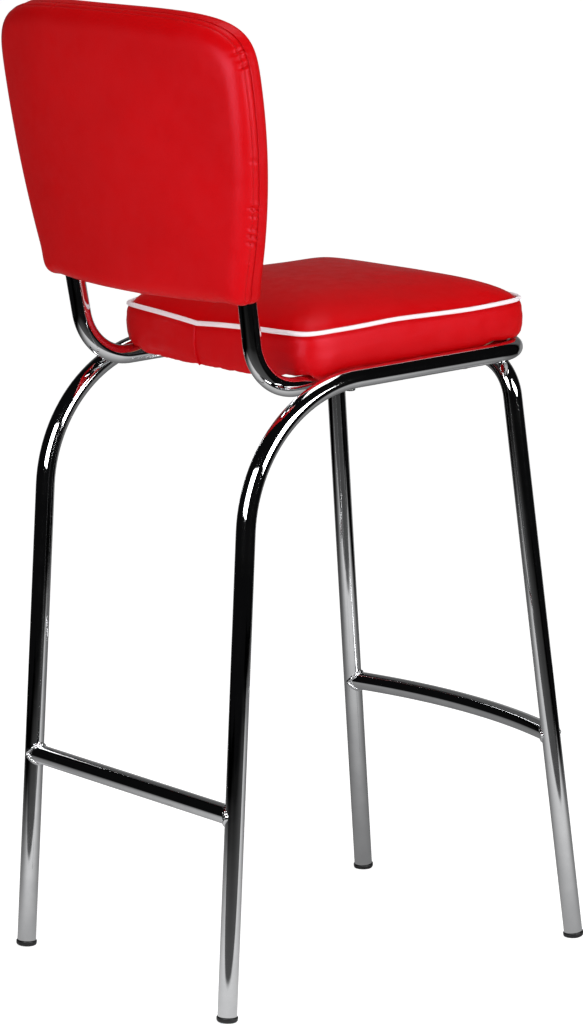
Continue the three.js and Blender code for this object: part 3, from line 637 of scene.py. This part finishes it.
def capped_body(grid, first, rows, last):
    """One closed skin from a disc, rows of points round its edge, and a second disc."""
    _, faces_in, edge = grid
    count, low = len(edge), len(first) + len(rows) * len(edge)
    ring = [edge] + [[len(first) + r * count + k for k in range(count)] for r in range(len(rows))]
    ring.append([low + k for k in edge])
    faces = [tuple(f) for f in faces_in]
    for above, below in zip(ring, ring[1:]):
        for k in range(count):
            n = (k + 1) % count
            faces.append((above[n], above[k], below[k], below[n]))
    faces += [tuple(low + i for i in f[::-1]) for f in faces_in]
    return np.concatenate([first] + rows + [last]), faces


seat_grid = disc_grid(48)
# How far the band stands in from the seat's plan, by its share of the way down
BAND_SHARES, BAND_INSETS = [0, 0.15, 0.4, 0.68, 0.88, 1], [0.8, -1, -2, -1.5, 0, 3]
# How far under the piping's line the band begins, and how high the skin's underside lies
BAND_DROP, UNDERSIDE = 3.0, 1.33


def seat_body():
    """The seat's skin, and how firmly each point is held: at the piping, and where it lies on the board."""
    disc, _, disc_edge = seat_grid
    share, turned = disc[:, 0], disc[:, 1]
    x, y = plan_point(seat_plan, turned, 4.1)
    rise = 34.0 * np.clip(1 - share ** 3.1, 0, 1) ** 0.72
    lean = 1 + 0.1 * share * (y - SEAT_CY) / SEAT_HD
    edge_height = PIPING_HIGH - (PIPING_HIGH - piping_height(x, y)) * share ** 3
    pulled = soft_noise(np.stack([turned * 9, share * 2], -1), 3.1) * share ** 10 * (1 - share ** 60)
    loose = soft_noise(np.stack([x * share / 70, y * share / 70], -1), 8.4) * (1 - share ** 6)
    top = np.stack([x * share, SEAT_CY + (y - SEAT_CY) * share,
                    edge_height + rise * lean + 0.9 * pulled + 0.5 * loose], -1)
    edge_turn = turned[disc_edge]
    rows = []
    for inset, drop in ((2.6, 1.2), (1.0, 2.0)):
        ex, ey = plan_point(seat_plan, edge_turn, inset)
        rows.append(np.stack([ex, ey, piping_height(ex, ey) - drop], -1))
    shares = np.array([0.0, 0.03, 0.08, 0.15, 0.22, 0.3, 0.38, 0.46, 0.54, 0.62, 0.7, 0.78, 0.86,
                       0.93, 0.97, 1.0])
    insets = np.interp(shares, BAND_SHARES, BAND_INSETS)
    insets[1:4] += [-0.4, -0.5, -0.2]
    ex, ey = plan_point(seat_plan, edge_turn, 0)
    along = np.concatenate([[0], np.cumsum(np.hypot(np.diff(ex), np.diff(ey)))])
    wave = 1.3 * soft_noise(along / 17, 5.2) + 0.7 * soft_noise(along / 7, 1.7)
    for s, inset in zip(shares, insets):
        fold = 0.5 * np.exp(-((s - 0.34 - 0.05 * soft_noise(along / 60, 2.2)) / 0.045) ** 2)
        fold *= smoothstep(soft_noise(along / 55, 6.6), -0.05, 0.25)
        upright = 0.55 * soft_noise(np.stack([along / 13, np.full(len(along), 1.3 * s)], -1), 9.3) * s ** 0.7
        ex, ey = plan_point(seat_plan, edge_turn, inset + fold - upright * (1 - s ** 8))
        high = piping_height(ex, ey) - BAND_DROP
        rows.append(np.stack([ex, ey, high + (rim_height(ex, ey) + wave * s ** 6 - high) * s], -1))
    ex, ey = plan_point(seat_plan, edge_turn, 6.5)
    rows.append(np.stack([ex, ey, rim_height(ex, ey) + wave - 0.1], -1))
    ex, ey = plan_point(board_plan, edge_turn, -0.5)
    rows.append(np.stack([ex, ey, np.full(len(ex), UNDERSIDE)], -1))
    bottom_x, bottom_y = plan_point(board_plan, turned, 2.0)
    bottom = np.stack([bottom_x * share, BOARD_CY + (bottom_y - BOARD_CY) * share,
                       np.full(len(share), UNDERSIDE)], -1)
    verts, faces = capped_body(seat_grid, top, rows, bottom)
    count = len(disc_edge)
    # Held: the crown's edge, the rows at the piping, the band's first three and last two, and all below
    held = np.zeros(len(verts))
    held[:len(top)][disc_edge] = 1
    held[len(top):len(top) + 5 * count] = 1
    held[len(top) + (len(rows) - 4) * count:] = 1
    return verts, faces, held


seat_verts, seat_faces, seat_held = seat_body()
seat = new_object("seat_cushion", on_seat(seat_verts), seat_faces, red_vinyl)
swollen(seat, seat_held)
dressed(seat, "vinyl_red", "seat_cover_top", "seat_cover_band", "seat_foam")


def band_point(x, inset, share):
    """A point on the band's rear, so far across and so far down."""
    v_inset = SEAT_BOW * (1 - (x / SEAT_HALF) ** 2) + SEAT_REAR - inset
    high = piping_height(np.array(x), np.array(SEAT_REAR)) - BAND_DROP
    return [x, v_inset, high + (rim_height(np.array(x), np.array(SEAT_REAR)) - high) * share]


# The band's ends meet in a felled seam at the rear
FELL_STEPS = 26
fell = []
for share_down in np.linspace(0.01, 1.0, FELL_STEPS):
    out = float(np.interp(share_down, BAND_SHARES, BAND_INSETS))
    fell.append(band_point(SEWN_X + 2.2 - 3.0 * share_down ** 2, out - 0.35, share_down))
fell_verts, fell_faces = swept(on_seat(np.array(fell)), np.linspace(0.0015, 0.0013, FELL_STEPS), 12)
dressed(new_object("seat_band_seam", fell_verts, fell_faces, red_vinyl), "vinyl_red")

edge_turns = np.linspace(0, 2 * math.pi, 720, endpoint=False)
px, py = plan_point(seat_plan, edge_turns, 1.0)
pipe_line = on_seat(np.stack([px, py, piping_height(px, py)], -1))
pipe_radius = 0.0025 + 0.0003 * smoothstep(py, 100, 140)
pipe_verts, pipe_faces = swept(pipe_line, pipe_radius, 20, closed=True)
dressed(new_object("seat_piping_cord", pipe_verts, pipe_faces, white_vinyl), "vinyl_white", "seat_piping")

# Backrest: an outline in the flat, bent round an upright axis and raked
RAKE, BEND, RISE = math.radians(9.4), 709.6, 322.2
PANEL_Y, PANEL_Z = 232.1, 794.2
PANEL_HALF = 217.2
# The seam's place in the depth, that of both flat faces, and how deep the wall in front of the seam is
SEAM, FACE_DEPTH, WALL_DEEP = 4.0, 25.0, 29
# The rear cover's roll: how far in from the edge and how deep it goes, and its mean radius
ROLL_IN, ROLL_DEEP, ROLL_RADIUS = 22, 21, 21.5


def on_panel(s, t, depth):
    angle = s / BEND
    reach = (BEND + depth) * np.cos(angle) - BEND
    return np.stack([
        (BEND + depth) * np.sin(angle),
        PANEL_Y + t * math.sin(RAKE) + reach * math.cos(RAKE) + SHIFT_Y,
        PANEL_Z + t * math.cos(RAKE) - reach * math.sin(RAKE)], -1) * MM


def bezier(points, t):
    points = [np.asarray(p, float) for p in points]
    t = np.asarray(t)[:, None]
    while len(points) > 1:
        points = [a * (1 - t) + b * t for a, b in zip(points, points[1:])]
    return points[0]


def panel_outline():
    """A straight foot, rounded lower corners, sides that widen upwards, and an arched top."""
    half, widest, low = PANEL_HALF, 238.0, np.array([174.5, 0.0])
    side = np.array([half, 0.52 * widest])
    start = low + unit(side - low) * 11
    rise = RISE - widest
    t = np.linspace(0, 1, 60)
    parts = [
        bezier([(0, 0), (161.5, 0)], t),
        bezier([(161.5, 0), low, start], t),
        bezier([start, side, (half, widest)], t),
        bezier([(half, widest), (half, widest + 0.74 * rise), (0.99 * half, RISE), (0, RISE)], t)]
    line = np.concatenate([p[:-1] for p in parts] + [[(0, RISE)]])
    return np.concatenate([line, (line * [-1, 1])[::-1][1:-1]])


def resampled(line, count, start_angle):
    """count points evenly along a closed line, the first where the line crosses start_angle, seen
    from its middle."""
    closed = np.concatenate([line, line[:1]])
    gone = np.concatenate([[0], np.cumsum(np.linalg.norm(np.diff(closed, axis=0), axis=1))])
    middle = np.array([0, RISE / 2])
    angles = np.arctan2(line[:, 1] - middle[1], line[:, 0])
    first = gone[:-1][np.argmin(np.abs(angles - start_angle))]
    places = (first + np.arange(count) / count * gone[-1]) % gone[-1]
    return np.stack([np.interp(places, gone, closed[:, 0]), np.interp(places, gone, closed[:, 1])], -1)


panel_grid = disc_grid(80)
COLUMNS = len(panel_grid[2])
panel_edge = resampled(panel_outline(), COLUMNS, 0.0)
SPACING = np.linalg.norm(panel_edge - np.roll(panel_edge, 1, 0), axis=1).sum() / COLUMNS

# Where the sewn edge is gathered: across, up and how deep the gather is
gathers = [(-212, 282, 0.9), (-215, 272, 0.5), (-216, 264, 0.7), (-213, 160, 0.35), (-204, 107, 1.6),
           (-203, 99, 0.7), (-199.5, 84, 0.8), (-197.7, 77, 1.5), (-195.8, 69, 1.3), (-190, 47, 0.4),
           (212, 281, 0.8), (216, 259, 0.5), (214, 170, 0.4), (202, 95, 0.8), (199, 82, 0.5), (196, 70, 0.8),
           (-150, 321, 0.25), (-60, 322, 0.2), (70, 322, 0.2), (148, 321, 0.3), (-120, 0, 0.5), (-20, 0, 0.4),
           (95, 0, 0.5)]


# How far the topstitching runs from the seam
STITCH_AT = 8.5


def seam_relief(from_seam):
    """How far the cover stands out along the edge, so far from the seam: positive is the rear cover."""
    along = np.arange(COLUMNS) * SPACING
    out = np.full(COLUMNS, 0.28 * math.exp(-((from_seam - 3.2) / 1.6) ** 2))
    out -= 0.6 * math.exp(-((from_seam - STITCH_AT) / 1.1) ** 2)
    near = math.exp(-((abs(from_seam) - 4) / 5) ** 2)
    out += near * (0.22 * soft_noise(along / 9, 4.4 + 0.04 * from_seam) + 0.12 * soft_noise(along / 4.2, 7.1))
    if from_seam > 0:
        fade = 1.9 * smoothstep(from_seam, 0.3, 2.5) * (1 - smoothstep(from_seam, 9, 19))
    else:
        fade = 0.7 * (1 - smoothstep(-from_seam, 1, 8))
    for across, up, depth in gathers:
        spot = np.argmin(np.hypot(panel_edge[:, 0] - across, panel_edge[:, 1] - up))
        far = (along - spot * SPACING + COLUMNS * SPACING / 2) % (COLUMNS * SPACING) - COLUMNS * SPACING / 2
        far = far + 0.12 * from_seam
        out -= fade * depth * (np.exp(-(far / 1.7) ** 2) - 0.5 * np.exp(-((far - 4) / 2.0) ** 2)
                               - 0.3 * np.exp(-((far + 4.5) / 2.5) ** 2))
    return out


def panel_face(sign, inset, crown, seed):
    """The disc grid spread inside the panel's outline, on the rear face for sign 1 or the front for -1."""
    share, turned = panel_grid[0][:, 0], panel_grid[0][:, 1]
    spot = turned / (2 * math.pi) * COLUMNS
    low = np.floor(spot).astype(int) % COLUMNS
    part = (spot - np.floor(spot))[:, None]
    edge = panel_edge[low] * (1 - part) + panel_edge[(low + 1) % COLUMNS] * part
    s = edge[:, 0] * share * (1 - inset / PANEL_HALF)
    t = RISE / 2 + (edge[:, 1] - RISE / 2) * share * (1 - inset / (RISE / 2))
    loose = soft_noise(np.stack([s / 75, t / 75], -1), seed) * (1 - share ** 6)
    return np.stack([s, t, sign * (FACE_DEPTH + crown * (1 - share ** 4) + 0.45 * loose)], -1)


# How near each point of the outline is to a lower corner, from 0 to 1
corner_reach = np.exp(-((np.abs(panel_edge[:, 0]) - 170) ** 2 + (panel_edge[:, 1] - 4) ** 2) / 13 ** 2)


def panel_row(inset, depth):
    """A row round the panel; the lower corners are drawn out a little, as sewn corners are."""
    inset = np.broadcast_to(np.asarray(inset, float), (COLUMNS,))
    inset = inset * (1 - 0.22 * corner_reach) - 2.4 * corner_reach
    s = panel_edge[:, 0] * (1 - inset / PANEL_HALF)
    t = RISE / 2 + (panel_edge[:, 1] - RISE / 2) * (1 - inset / (RISE / 2))
    return np.stack([s, t, np.broadcast_to(np.asarray(depth, float), (COLUMNS,))], -1)


def rear_roll(degrees, stand=0.0):
    """A row on the rear cover's roll, from 0 at its flat face to 90 at the seam."""
    a = math.radians(degrees)
    out = seam_relief((90 - degrees) * math.radians(1) * ROLL_RADIUS) + stand
    return panel_row(ROLL_IN * (1 - math.sin(a)) - out * math.sin(a),
                     SEAM + ROLL_DEEP * math.cos(a) + out * math.cos(a))


TOPSTITCH = 90 - math.degrees(STITCH_AT / ROLL_RADIUS)


def backrest_body():
    """The rear panel rolls over the edge to the seam near the middle of the depth, and the front cover
    has a side wall from there and a roll of its own."""
    rear = panel_face(1, ROLL_IN, 1.0, 2.6)
    rows = [rear_roll(d) for d in (9, 18, 26, 33, 40, 46, 51, 56, 60, 63.5, TOPSTITCH - 1.5, TOPSTITCH,
                                   TOPSTITCH + 1.5, 71, 74, 77, 80, 83, 85.5, 87.5)]
    rows += [panel_row(inset, SEAM + depth) for inset, depth in (
        (0.25, 0.9), (1.0, 0.6), (2.6, 0.0), (1.0, -0.6), (0.25, -0.9))]
    groove = len(rows)
    for part in (0.05, 0.09, 0.14, 0.2, 0.27, 0.35, 0.43, 0.51, 0.6, 0.69, 0.77, 0.84, 0.9, 0.95, 0.985, 1.0):
        turn_in = 15 * (1 - math.sqrt(max(0.0, 1 - part ** 2.3)))
        bulge = 3.0 * math.sin(math.pi * min(1.0, part / 0.9)) ** 2
        rows.append(panel_row(turn_in - bulge - seam_relief(-WALL_DEEP * part), SEAM - WALL_DEEP * part))
    front = panel_face(-1, 16.0, 1.5, 7.7)
    verts, faces = capped_body(panel_grid, rear, rows, front)
    # Held: the rear face, its roll, the groove and three rows past it
    held = np.zeros(len(verts))
    held[:len(rear) + (groove + 3) * COLUMNS] = 1
    return verts, [f[::-1] for f in faces], held


back_verts, back_faces, back_held = backrest_body()
backrest = new_object("backrest_cushion", on_panel(*back_verts.T), back_faces, red_vinyl)
swollen(backrest, back_held)
dressed(backrest, "vinyl_red", "backrest_cover_front", "backrest_cover_rear",
        "backrest_front_foam", "backrest_rear_foam")

# Topstitching in its groove beside the seam
STITCH_PITCH = 0.0042
# Where the sections of a stitch lie, as shares of the pitch, and their radii in millimetres
STITCH_PLACES, STITCH_RADII = [0.0, 0.12, 0.36, 0.6, 0.72], [0.14, 0.32, 0.38, 0.32, 0.14]
stitch_line = on_panel(*rear_roll(TOPSTITCH, 0.12).T)
closed_line = np.concatenate([stitch_line, stitch_line[:1]])
gone = np.concatenate([[0], np.cumsum(np.linalg.norm(np.diff(closed_line, axis=0), axis=1))])
count = int(gone[-1] / STITCH_PITCH)
stitches = []
for k in range(count):
    places = (k + np.array(STITCH_PLACES)) / count * gone[-1]
    path = np.stack([np.interp(places, gone, closed_line[:, i]) for i in range(3)], -1)
    stitches.append(swept(path, np.array(STITCH_RADII) * MM, 6))
dressed(new_object("backrest_topstitch", *joined(stitches), thread), "vinyl_red")

# Underside: the dust cloth over the board, stapled round its edge
cloth_grid = disc_grid(32)
cloth_share, cloth_turn = cloth_grid[0][:, 0], cloth_grid[0][:, 1]
CLOTH_INSET = 3.0


def sag(x, y):
    """How far the cloth hangs down between the back tubes."""
    between = 1 - smoothstep(np.abs(x), 95, 132)
    slack = 0.9 + 0.6 * soft_noise(np.stack([x / 45, y / 45], -1), 4.1) + 0.3 * soft_noise(
        np.stack([x / 14, y / 14], -1), 6.3)
    return between * slack


cx, cy = plan_point(board_plan, cloth_turn, CLOTH_INSET)
cx, cy = cx * cloth_share, BOARD_CY + (cy - BOARD_CY) * cloth_share
upper = np.stack([cx, cy, np.full(len(cx), 1.1)], -1)
lower = np.stack([cx, cy, 0.3 - sag(cx, cy) * (1 - cloth_share ** 8)], -1)
cloth_rows = []
for inset, height in ((2.6, 1.0), (2.3, 0.7), (2.6, 0.4)):
    ex, ey = plan_point(board_plan, cloth_turn[cloth_grid[2]], inset)
    cloth_rows.append(np.stack([ex, ey, np.full(len(ex), height)], -1))
cloth_verts, cloth_faces = capped_body(cloth_grid, upper, cloth_rows, lower)
dressed(new_object("seat_dust_cloth", on_seat(cloth_verts), cloth_faces, fleece_mat),
        "fleece", "seat_dust_cover")

STAPLES = 32
# A staple from leg to leg: how far along from its middle, and how high
STAPLE_PATH = [(-5.0, 0.9), (-4.9, 0.05), (-4.5, -0.2), (0, -0.25), (4.5, -0.2), (4.9, 0.05), (5.0, 0.9)]
staples = []
ex, ey = plan_point(board_plan, np.linspace(0, 2 * math.pi, 2000, endpoint=False), 11.0)
rim = np.concatenate([[0], np.cumsum(np.hypot(np.diff(ex), np.diff(ey)))])
for k in range(STAPLES):
    off_x, off_y = soft_noise([[k * 1.7, 0.3]], 2.0)[0] * 1.5, soft_noise([[k * 1.7, 5.3]], 2.0)[0] * 1.5
    i = np.searchsorted(rim, (k + 0.5) / STAPLES * rim[-1]) % len(ex)
    # None where a back tube covers the edge of the cloth
    if abs(abs(ex[i]) - run_x(ey[i])) < 13:
        continue
    ahead = (i + 3) % len(ex)
    run = unit(np.array([ex[ahead] - ex[i], ey[ahead] - ey[i], 0.0]))
    centre = np.array([ex[i] + off_x * 0.4, ey[i] + off_y * 0.4, 0.0])
    path = [centre + run * a + [0, 0, h] for a, h in STAPLE_PATH]
    staples.append(swept(on_seat(np.array(path)), 0.0005, 8))
dressed(new_object("dust_cloth_staples", *joined(staples), zinc), "zinc")

# Hex bolts and washers under the back tubes
RING_TURNS = np.linspace(0, 2 * math.pi, 48, endpoint=False)


def turned_ring(centre, height, radius):
    """A ring in the seat's frame. The height and the radius may be given for each of its points."""
    return np.stack([centre[0] + radius * np.cos(RING_TURNS), centre[1] + radius * np.sin(RING_TURNS),
                     np.full(len(RING_TURNS), height)], -1)


def ring_stack(rings, closed):
    sides = len(RING_TURNS)
    faces = grid_faces(len(rings), sides, close_rows=closed)
    if not closed:
        faces += [tuple(range(sides))[::-1], tuple(range((len(rings) - 1) * sides, len(rings) * sides))]
    return on_seat(np.concatenate(rings)), faces


# Heights and radii of the rings. The bolt's run from its head up
hexagon = 5.0 / np.cos((RING_TURNS + 0.2) % (math.pi / 3) - math.pi / 6)
BOLT_RINGS = [
    (-27.4, 0.9), (-27.5, 3.4), (-27.45, 4.55),
    (-27.45 + (hexagon - 4.6) * 0.5, np.minimum(hexagon, 5.75)), (-26.6, np.minimum(hexagon, 5.76)),
    (-23.9, np.minimum(hexagon, 5.76)), (-23.65, np.minimum(hexagon, 5.6)), (-23.6, 2.9),
    (-23.0, 2.82), (-22.0, 2.82), (0.0, 2.82), (10.0, 2.82), (11.0, 2.2)]
# The washer's run from its top down, so its faces point inward
WASHER_RINGS = [(-22.35, 3.2), (-22.32, 6.7), (-22.5, 6.95), (-22.95, 7.0), (-23.3, 6.9), (-23.5, 6.6),
                (-23.52, 3.4), (-23.4, 3.2)]
BOLT_ROWS = (53.8, -117.8)
for number, (along, side) in enumerate(((row, hand) for row in BOLT_ROWS for hand in (-1, 1)), 1):
    centre = (side * run_x(along), along)
    for kind, sections, closed in (("bolt", BOLT_RINGS, False), ("washer", WASHER_RINGS, True)):
        rings = [turned_ring(centre, height, radius) for height, radius in sections]
        piece = new_object("%s_%d" % (kind, number), *ring_stack(rings, closed), zinc)
        dressed(piece, "zinc", "seat_%s_%d" % (kind, number))

# CAD nodes that stay
for name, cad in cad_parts.items():
    if name.endswith("_board") or name.startswith(("seat_tee", "backrest_screw")):
        cad.data.materials.clear()
        cad.data.materials.append(plywood_mat if name.endswith("_board") else zinc)


# Studio
def glow_material(name):
    """A material that only glows, and its emission node."""
    mat = bpy.data.materials.new(name)
    mat.use_nodes = True
    tree = mat.node_tree
    tree.nodes.clear()
    shine = tree.nodes.new("ShaderNodeEmission")
    out = tree.nodes.new("ShaderNodeOutputMaterial")
    tree.links.new(shine.outputs["Emission"], out.inputs["Surface"])
    return mat, shine


def reflected_only(piece):
    """Staging that reflections see and nothing else does."""
    for kind in ("camera", "diffuse", "shadow", "transmission"):
        setattr(piece, "visible_" + kind, False)


CORNERS = ((-1, -1), (1, -1), (1, 1), (-1, 1))
FLOOR_REACH = 80
floor_mat, _, floor_shader = material("floor_white", (0.45, 0.45, 0.45), 0.9)
floor_shader.inputs["Emission Color"].default_value = (1, 1, 1, 1)
floor_shader.inputs["Emission Strength"].default_value = 0.87
floor = new_object("floor", [(a * FLOOR_REACH, b * FLOOR_REACH, -0.0005) for a, b in CORNERS],
                   [(0, 1, 2, 3)], floor_mat, smooth=False)
floor.visible_glossy = False

view_dir = Vector((-0.77356, 0.63372, 0))
side_dir = Vector((-0.63372, -0.77356, 0))


def staged_point(toward, across, height):
    """A place given by its distance toward the camera, to the right of the picture, and up."""
    return view_dir * toward + side_dir * across + Vector((0, 0, height))


def soft_edge(value, low, high):
    return float(smoothstep(value, low, high))


# How brightly the floor glows by its distance toward the camera: the paper sheet, and the dark floor
SHEET_GLOW = ([-2.4, -1.6, -0.5, -0.15, 0.15, 0.3, 0.45], [0.03, 0.1, 0.18, 0.28, 0.5, 0.62, 0.7])
DARK_GLOW = ([0.5, 0.75, 1.05, 1.2, 1.5, 1.75], [0.09, 0.078, 0.055, 0.045, 0.028, 0.008])


def floor_light(toward, across):
    """What the tubes reflect from below: a lit paper sheet that ends before the camera, on a dark floor."""
    sheet = np.interp(toward, *SHEET_GLOW)
    sheet *= soft_edge(across, -1.5, -0.35) * (1 - soft_edge(across, 1.05, 1.75))
    dark = np.interp(toward, *DARK_GLOW)
    dark *= soft_edge(across, -1.6, -0.5) * (1 - soft_edge(across, 0.9, 1.6))
    ends = soft_edge(toward, 0.50, 0.56)
    return sheet * (1 - ends) + dark * ends


def glowing_sheet(name, place, rows, cols, light):
    """A sheet that only reflections see, whose glow follows light(row, col)."""
    verts = [place(r, c) for r in rows for c in cols]
    piece = new_object(name, verts, grid_faces(len(rows), len(cols), close_cols=False), smooth=False)
    glow = piece.data.attributes.new("glow", "FLOAT", "POINT")
    glow.data.foreach_set("value", [float(light(r, c)) for r in rows for c in cols])
    mat, shine = glow_material(name)
    read = mat.node_tree.nodes.new("ShaderNodeAttribute")
    read.attribute_name = "glow"
    mat.node_tree.links.new(read.outputs["Fac"], shine.inputs["Strength"])
    piece.data.materials.append(mat)
    reflected_only(piece)


# The steps are finer where the paper sheet ends
toward_steps = np.concatenate([np.linspace(-2.4, 0.4, 29), np.linspace(0.46, 0.62, 9),
                               np.linspace(0.7, 2.0, 14)])
glowing_sheet("floor_glow", lambda r, c: staged_point(r, c, -0.003), toward_steps,
              np.linspace(-2, 2, 41), floor_light)


def backdrop_light(height, across):
    """A dim backdrop, which is darker above 0.9 m and again towards its top."""
    return (0.27 * (1 - 0.8 * soft_edge(height, 1.7, 2.8)) * (1 - 0.6 * soft_edge(height, 0.75, 0.95))
            * soft_edge(across, -1.7, -0.7) * (1 - soft_edge(across, 1.4, 2.0)))


glowing_sheet("backdrop_glow", lambda r, c: staged_point(-1.6, c, r), np.linspace(0, 3, 16),
              np.linspace(-2, 2.4, 23), backdrop_light)


def place_lamp(data, matrix):
    """A lamp that lights everything but is left out of reflections, which see a sheet instead."""
    lamp = bpy.data.objects.new(data.name, data)
    scene.collection.objects.link(lamp)
    lamp.matrix_world = matrix
    lamp.visible_glossy = False


def softbox(name, distance, azimuth, height_angle, aim, width, height, roll, strength, power):
    """A studio light round the stool: a glowing card for reflections and a lamp for the rest. Angles are
    in degrees, and aim is the height on the stool's axis that it faces."""
    flat = math.cos(math.radians(height_angle)) * distance
    centre = staged_point(flat * math.cos(math.radians(azimuth)), flat * math.sin(math.radians(azimuth)),
                          0.5 + distance * math.sin(math.radians(height_angle)))
    facing = (Vector((0, 0, aim)) - centre).normalized()
    level = Vector((0, 0, 1)).cross(facing).normalized()
    upright = facing.cross(level)
    tip = Matrix.Rotation(math.radians(roll), 3, facing)
    level, upright = tip @ level, tip @ upright
    corners = [centre + level * (a * width / 2) + upright * (b * height / 2) for a, b in CORNERS]
    mat, shine = glow_material(name + "_glow")
    shine.inputs["Strength"].default_value = strength
    reflected_only(new_object(name, corners, [(0, 1, 2, 3)], mat, smooth=False))
    data = bpy.data.lights.new(name + "_lamp", "AREA")
    data.shape = "RECTANGLE"
    data.size, data.size_y = width, height
    data.energy = power
    turned = Matrix((-level, upright, -facing)).transposed().to_4x4()
    place_lamp(data, Matrix.Translation(centre + facing * 0.01) @ turned)


softbox("softbox_left", distance=1.27, azimuth=-23.2, height_angle=18.5, aim=0.40, width=0.79, height=0.56,
        roll=9.7, strength=8.0, power=6)
softbox("softbox_right", distance=1.78, azimuth=47.8, height_angle=15.7, aim=0.37, width=1.08, height=0.60,
        roll=31.9, strength=10.0, power=16.3)
softbox("softbox_top", distance=1.92, azimuth=110, height_angle=82, aim=0.5, width=0.85, height=0.75,
        roll=0, strength=2.4, power=9)
high_lamp = bpy.data.lights.new("high_lamp", "AREA")
high_lamp.shape, high_lamp.size, high_lamp.energy = "SQUARE", 0.6, 8
high_place = staged_point(0.6, 0.1, 2.3)
high_turn = (high_place - Vector((0, 0.1, 1.0))).to_track_quat("Z", "Y")
place_lamp(high_lamp, Matrix.Translation(high_place) @ high_turn.to_matrix().to_4x4())

world = bpy.data.worlds.new("studio")
scene.world = world
world.use_nodes = True
tree = world.node_tree
tree.nodes.clear()
paths = tree.nodes.new("ShaderNodeLightPath")


def background(colour, strength):
    made = tree.nodes.new("ShaderNodeBackground")
    made.inputs["Color"].default_value = (*colour, 1)
    made.inputs["Strength"].default_value = strength
    return made.outputs["Background"]


def mixed_background(fac, first, second):
    made = tree.nodes.new("ShaderNodeMixShader")
    tree.links.new(paths.outputs[fac], made.inputs["Fac"])
    tree.links.new(first, made.inputs[1])
    tree.links.new(second, made.inputs[2])
    return made.outputs["Shader"]


around = mixed_background("Is Glossy Ray", background((1, 1, 1), 0.35), background((0.62, 0.62, 0.66), 0.006))
seen = mixed_background("Is Camera Ray", around, background((1, 1, 1), 1.0))
world_out = tree.nodes.new("ShaderNodeOutputWorld")
tree.links.new(seen, world_out.inputs["Surface"])

scene.view_settings.view_transform = "Standard"

bpy.context.view_layer.update()
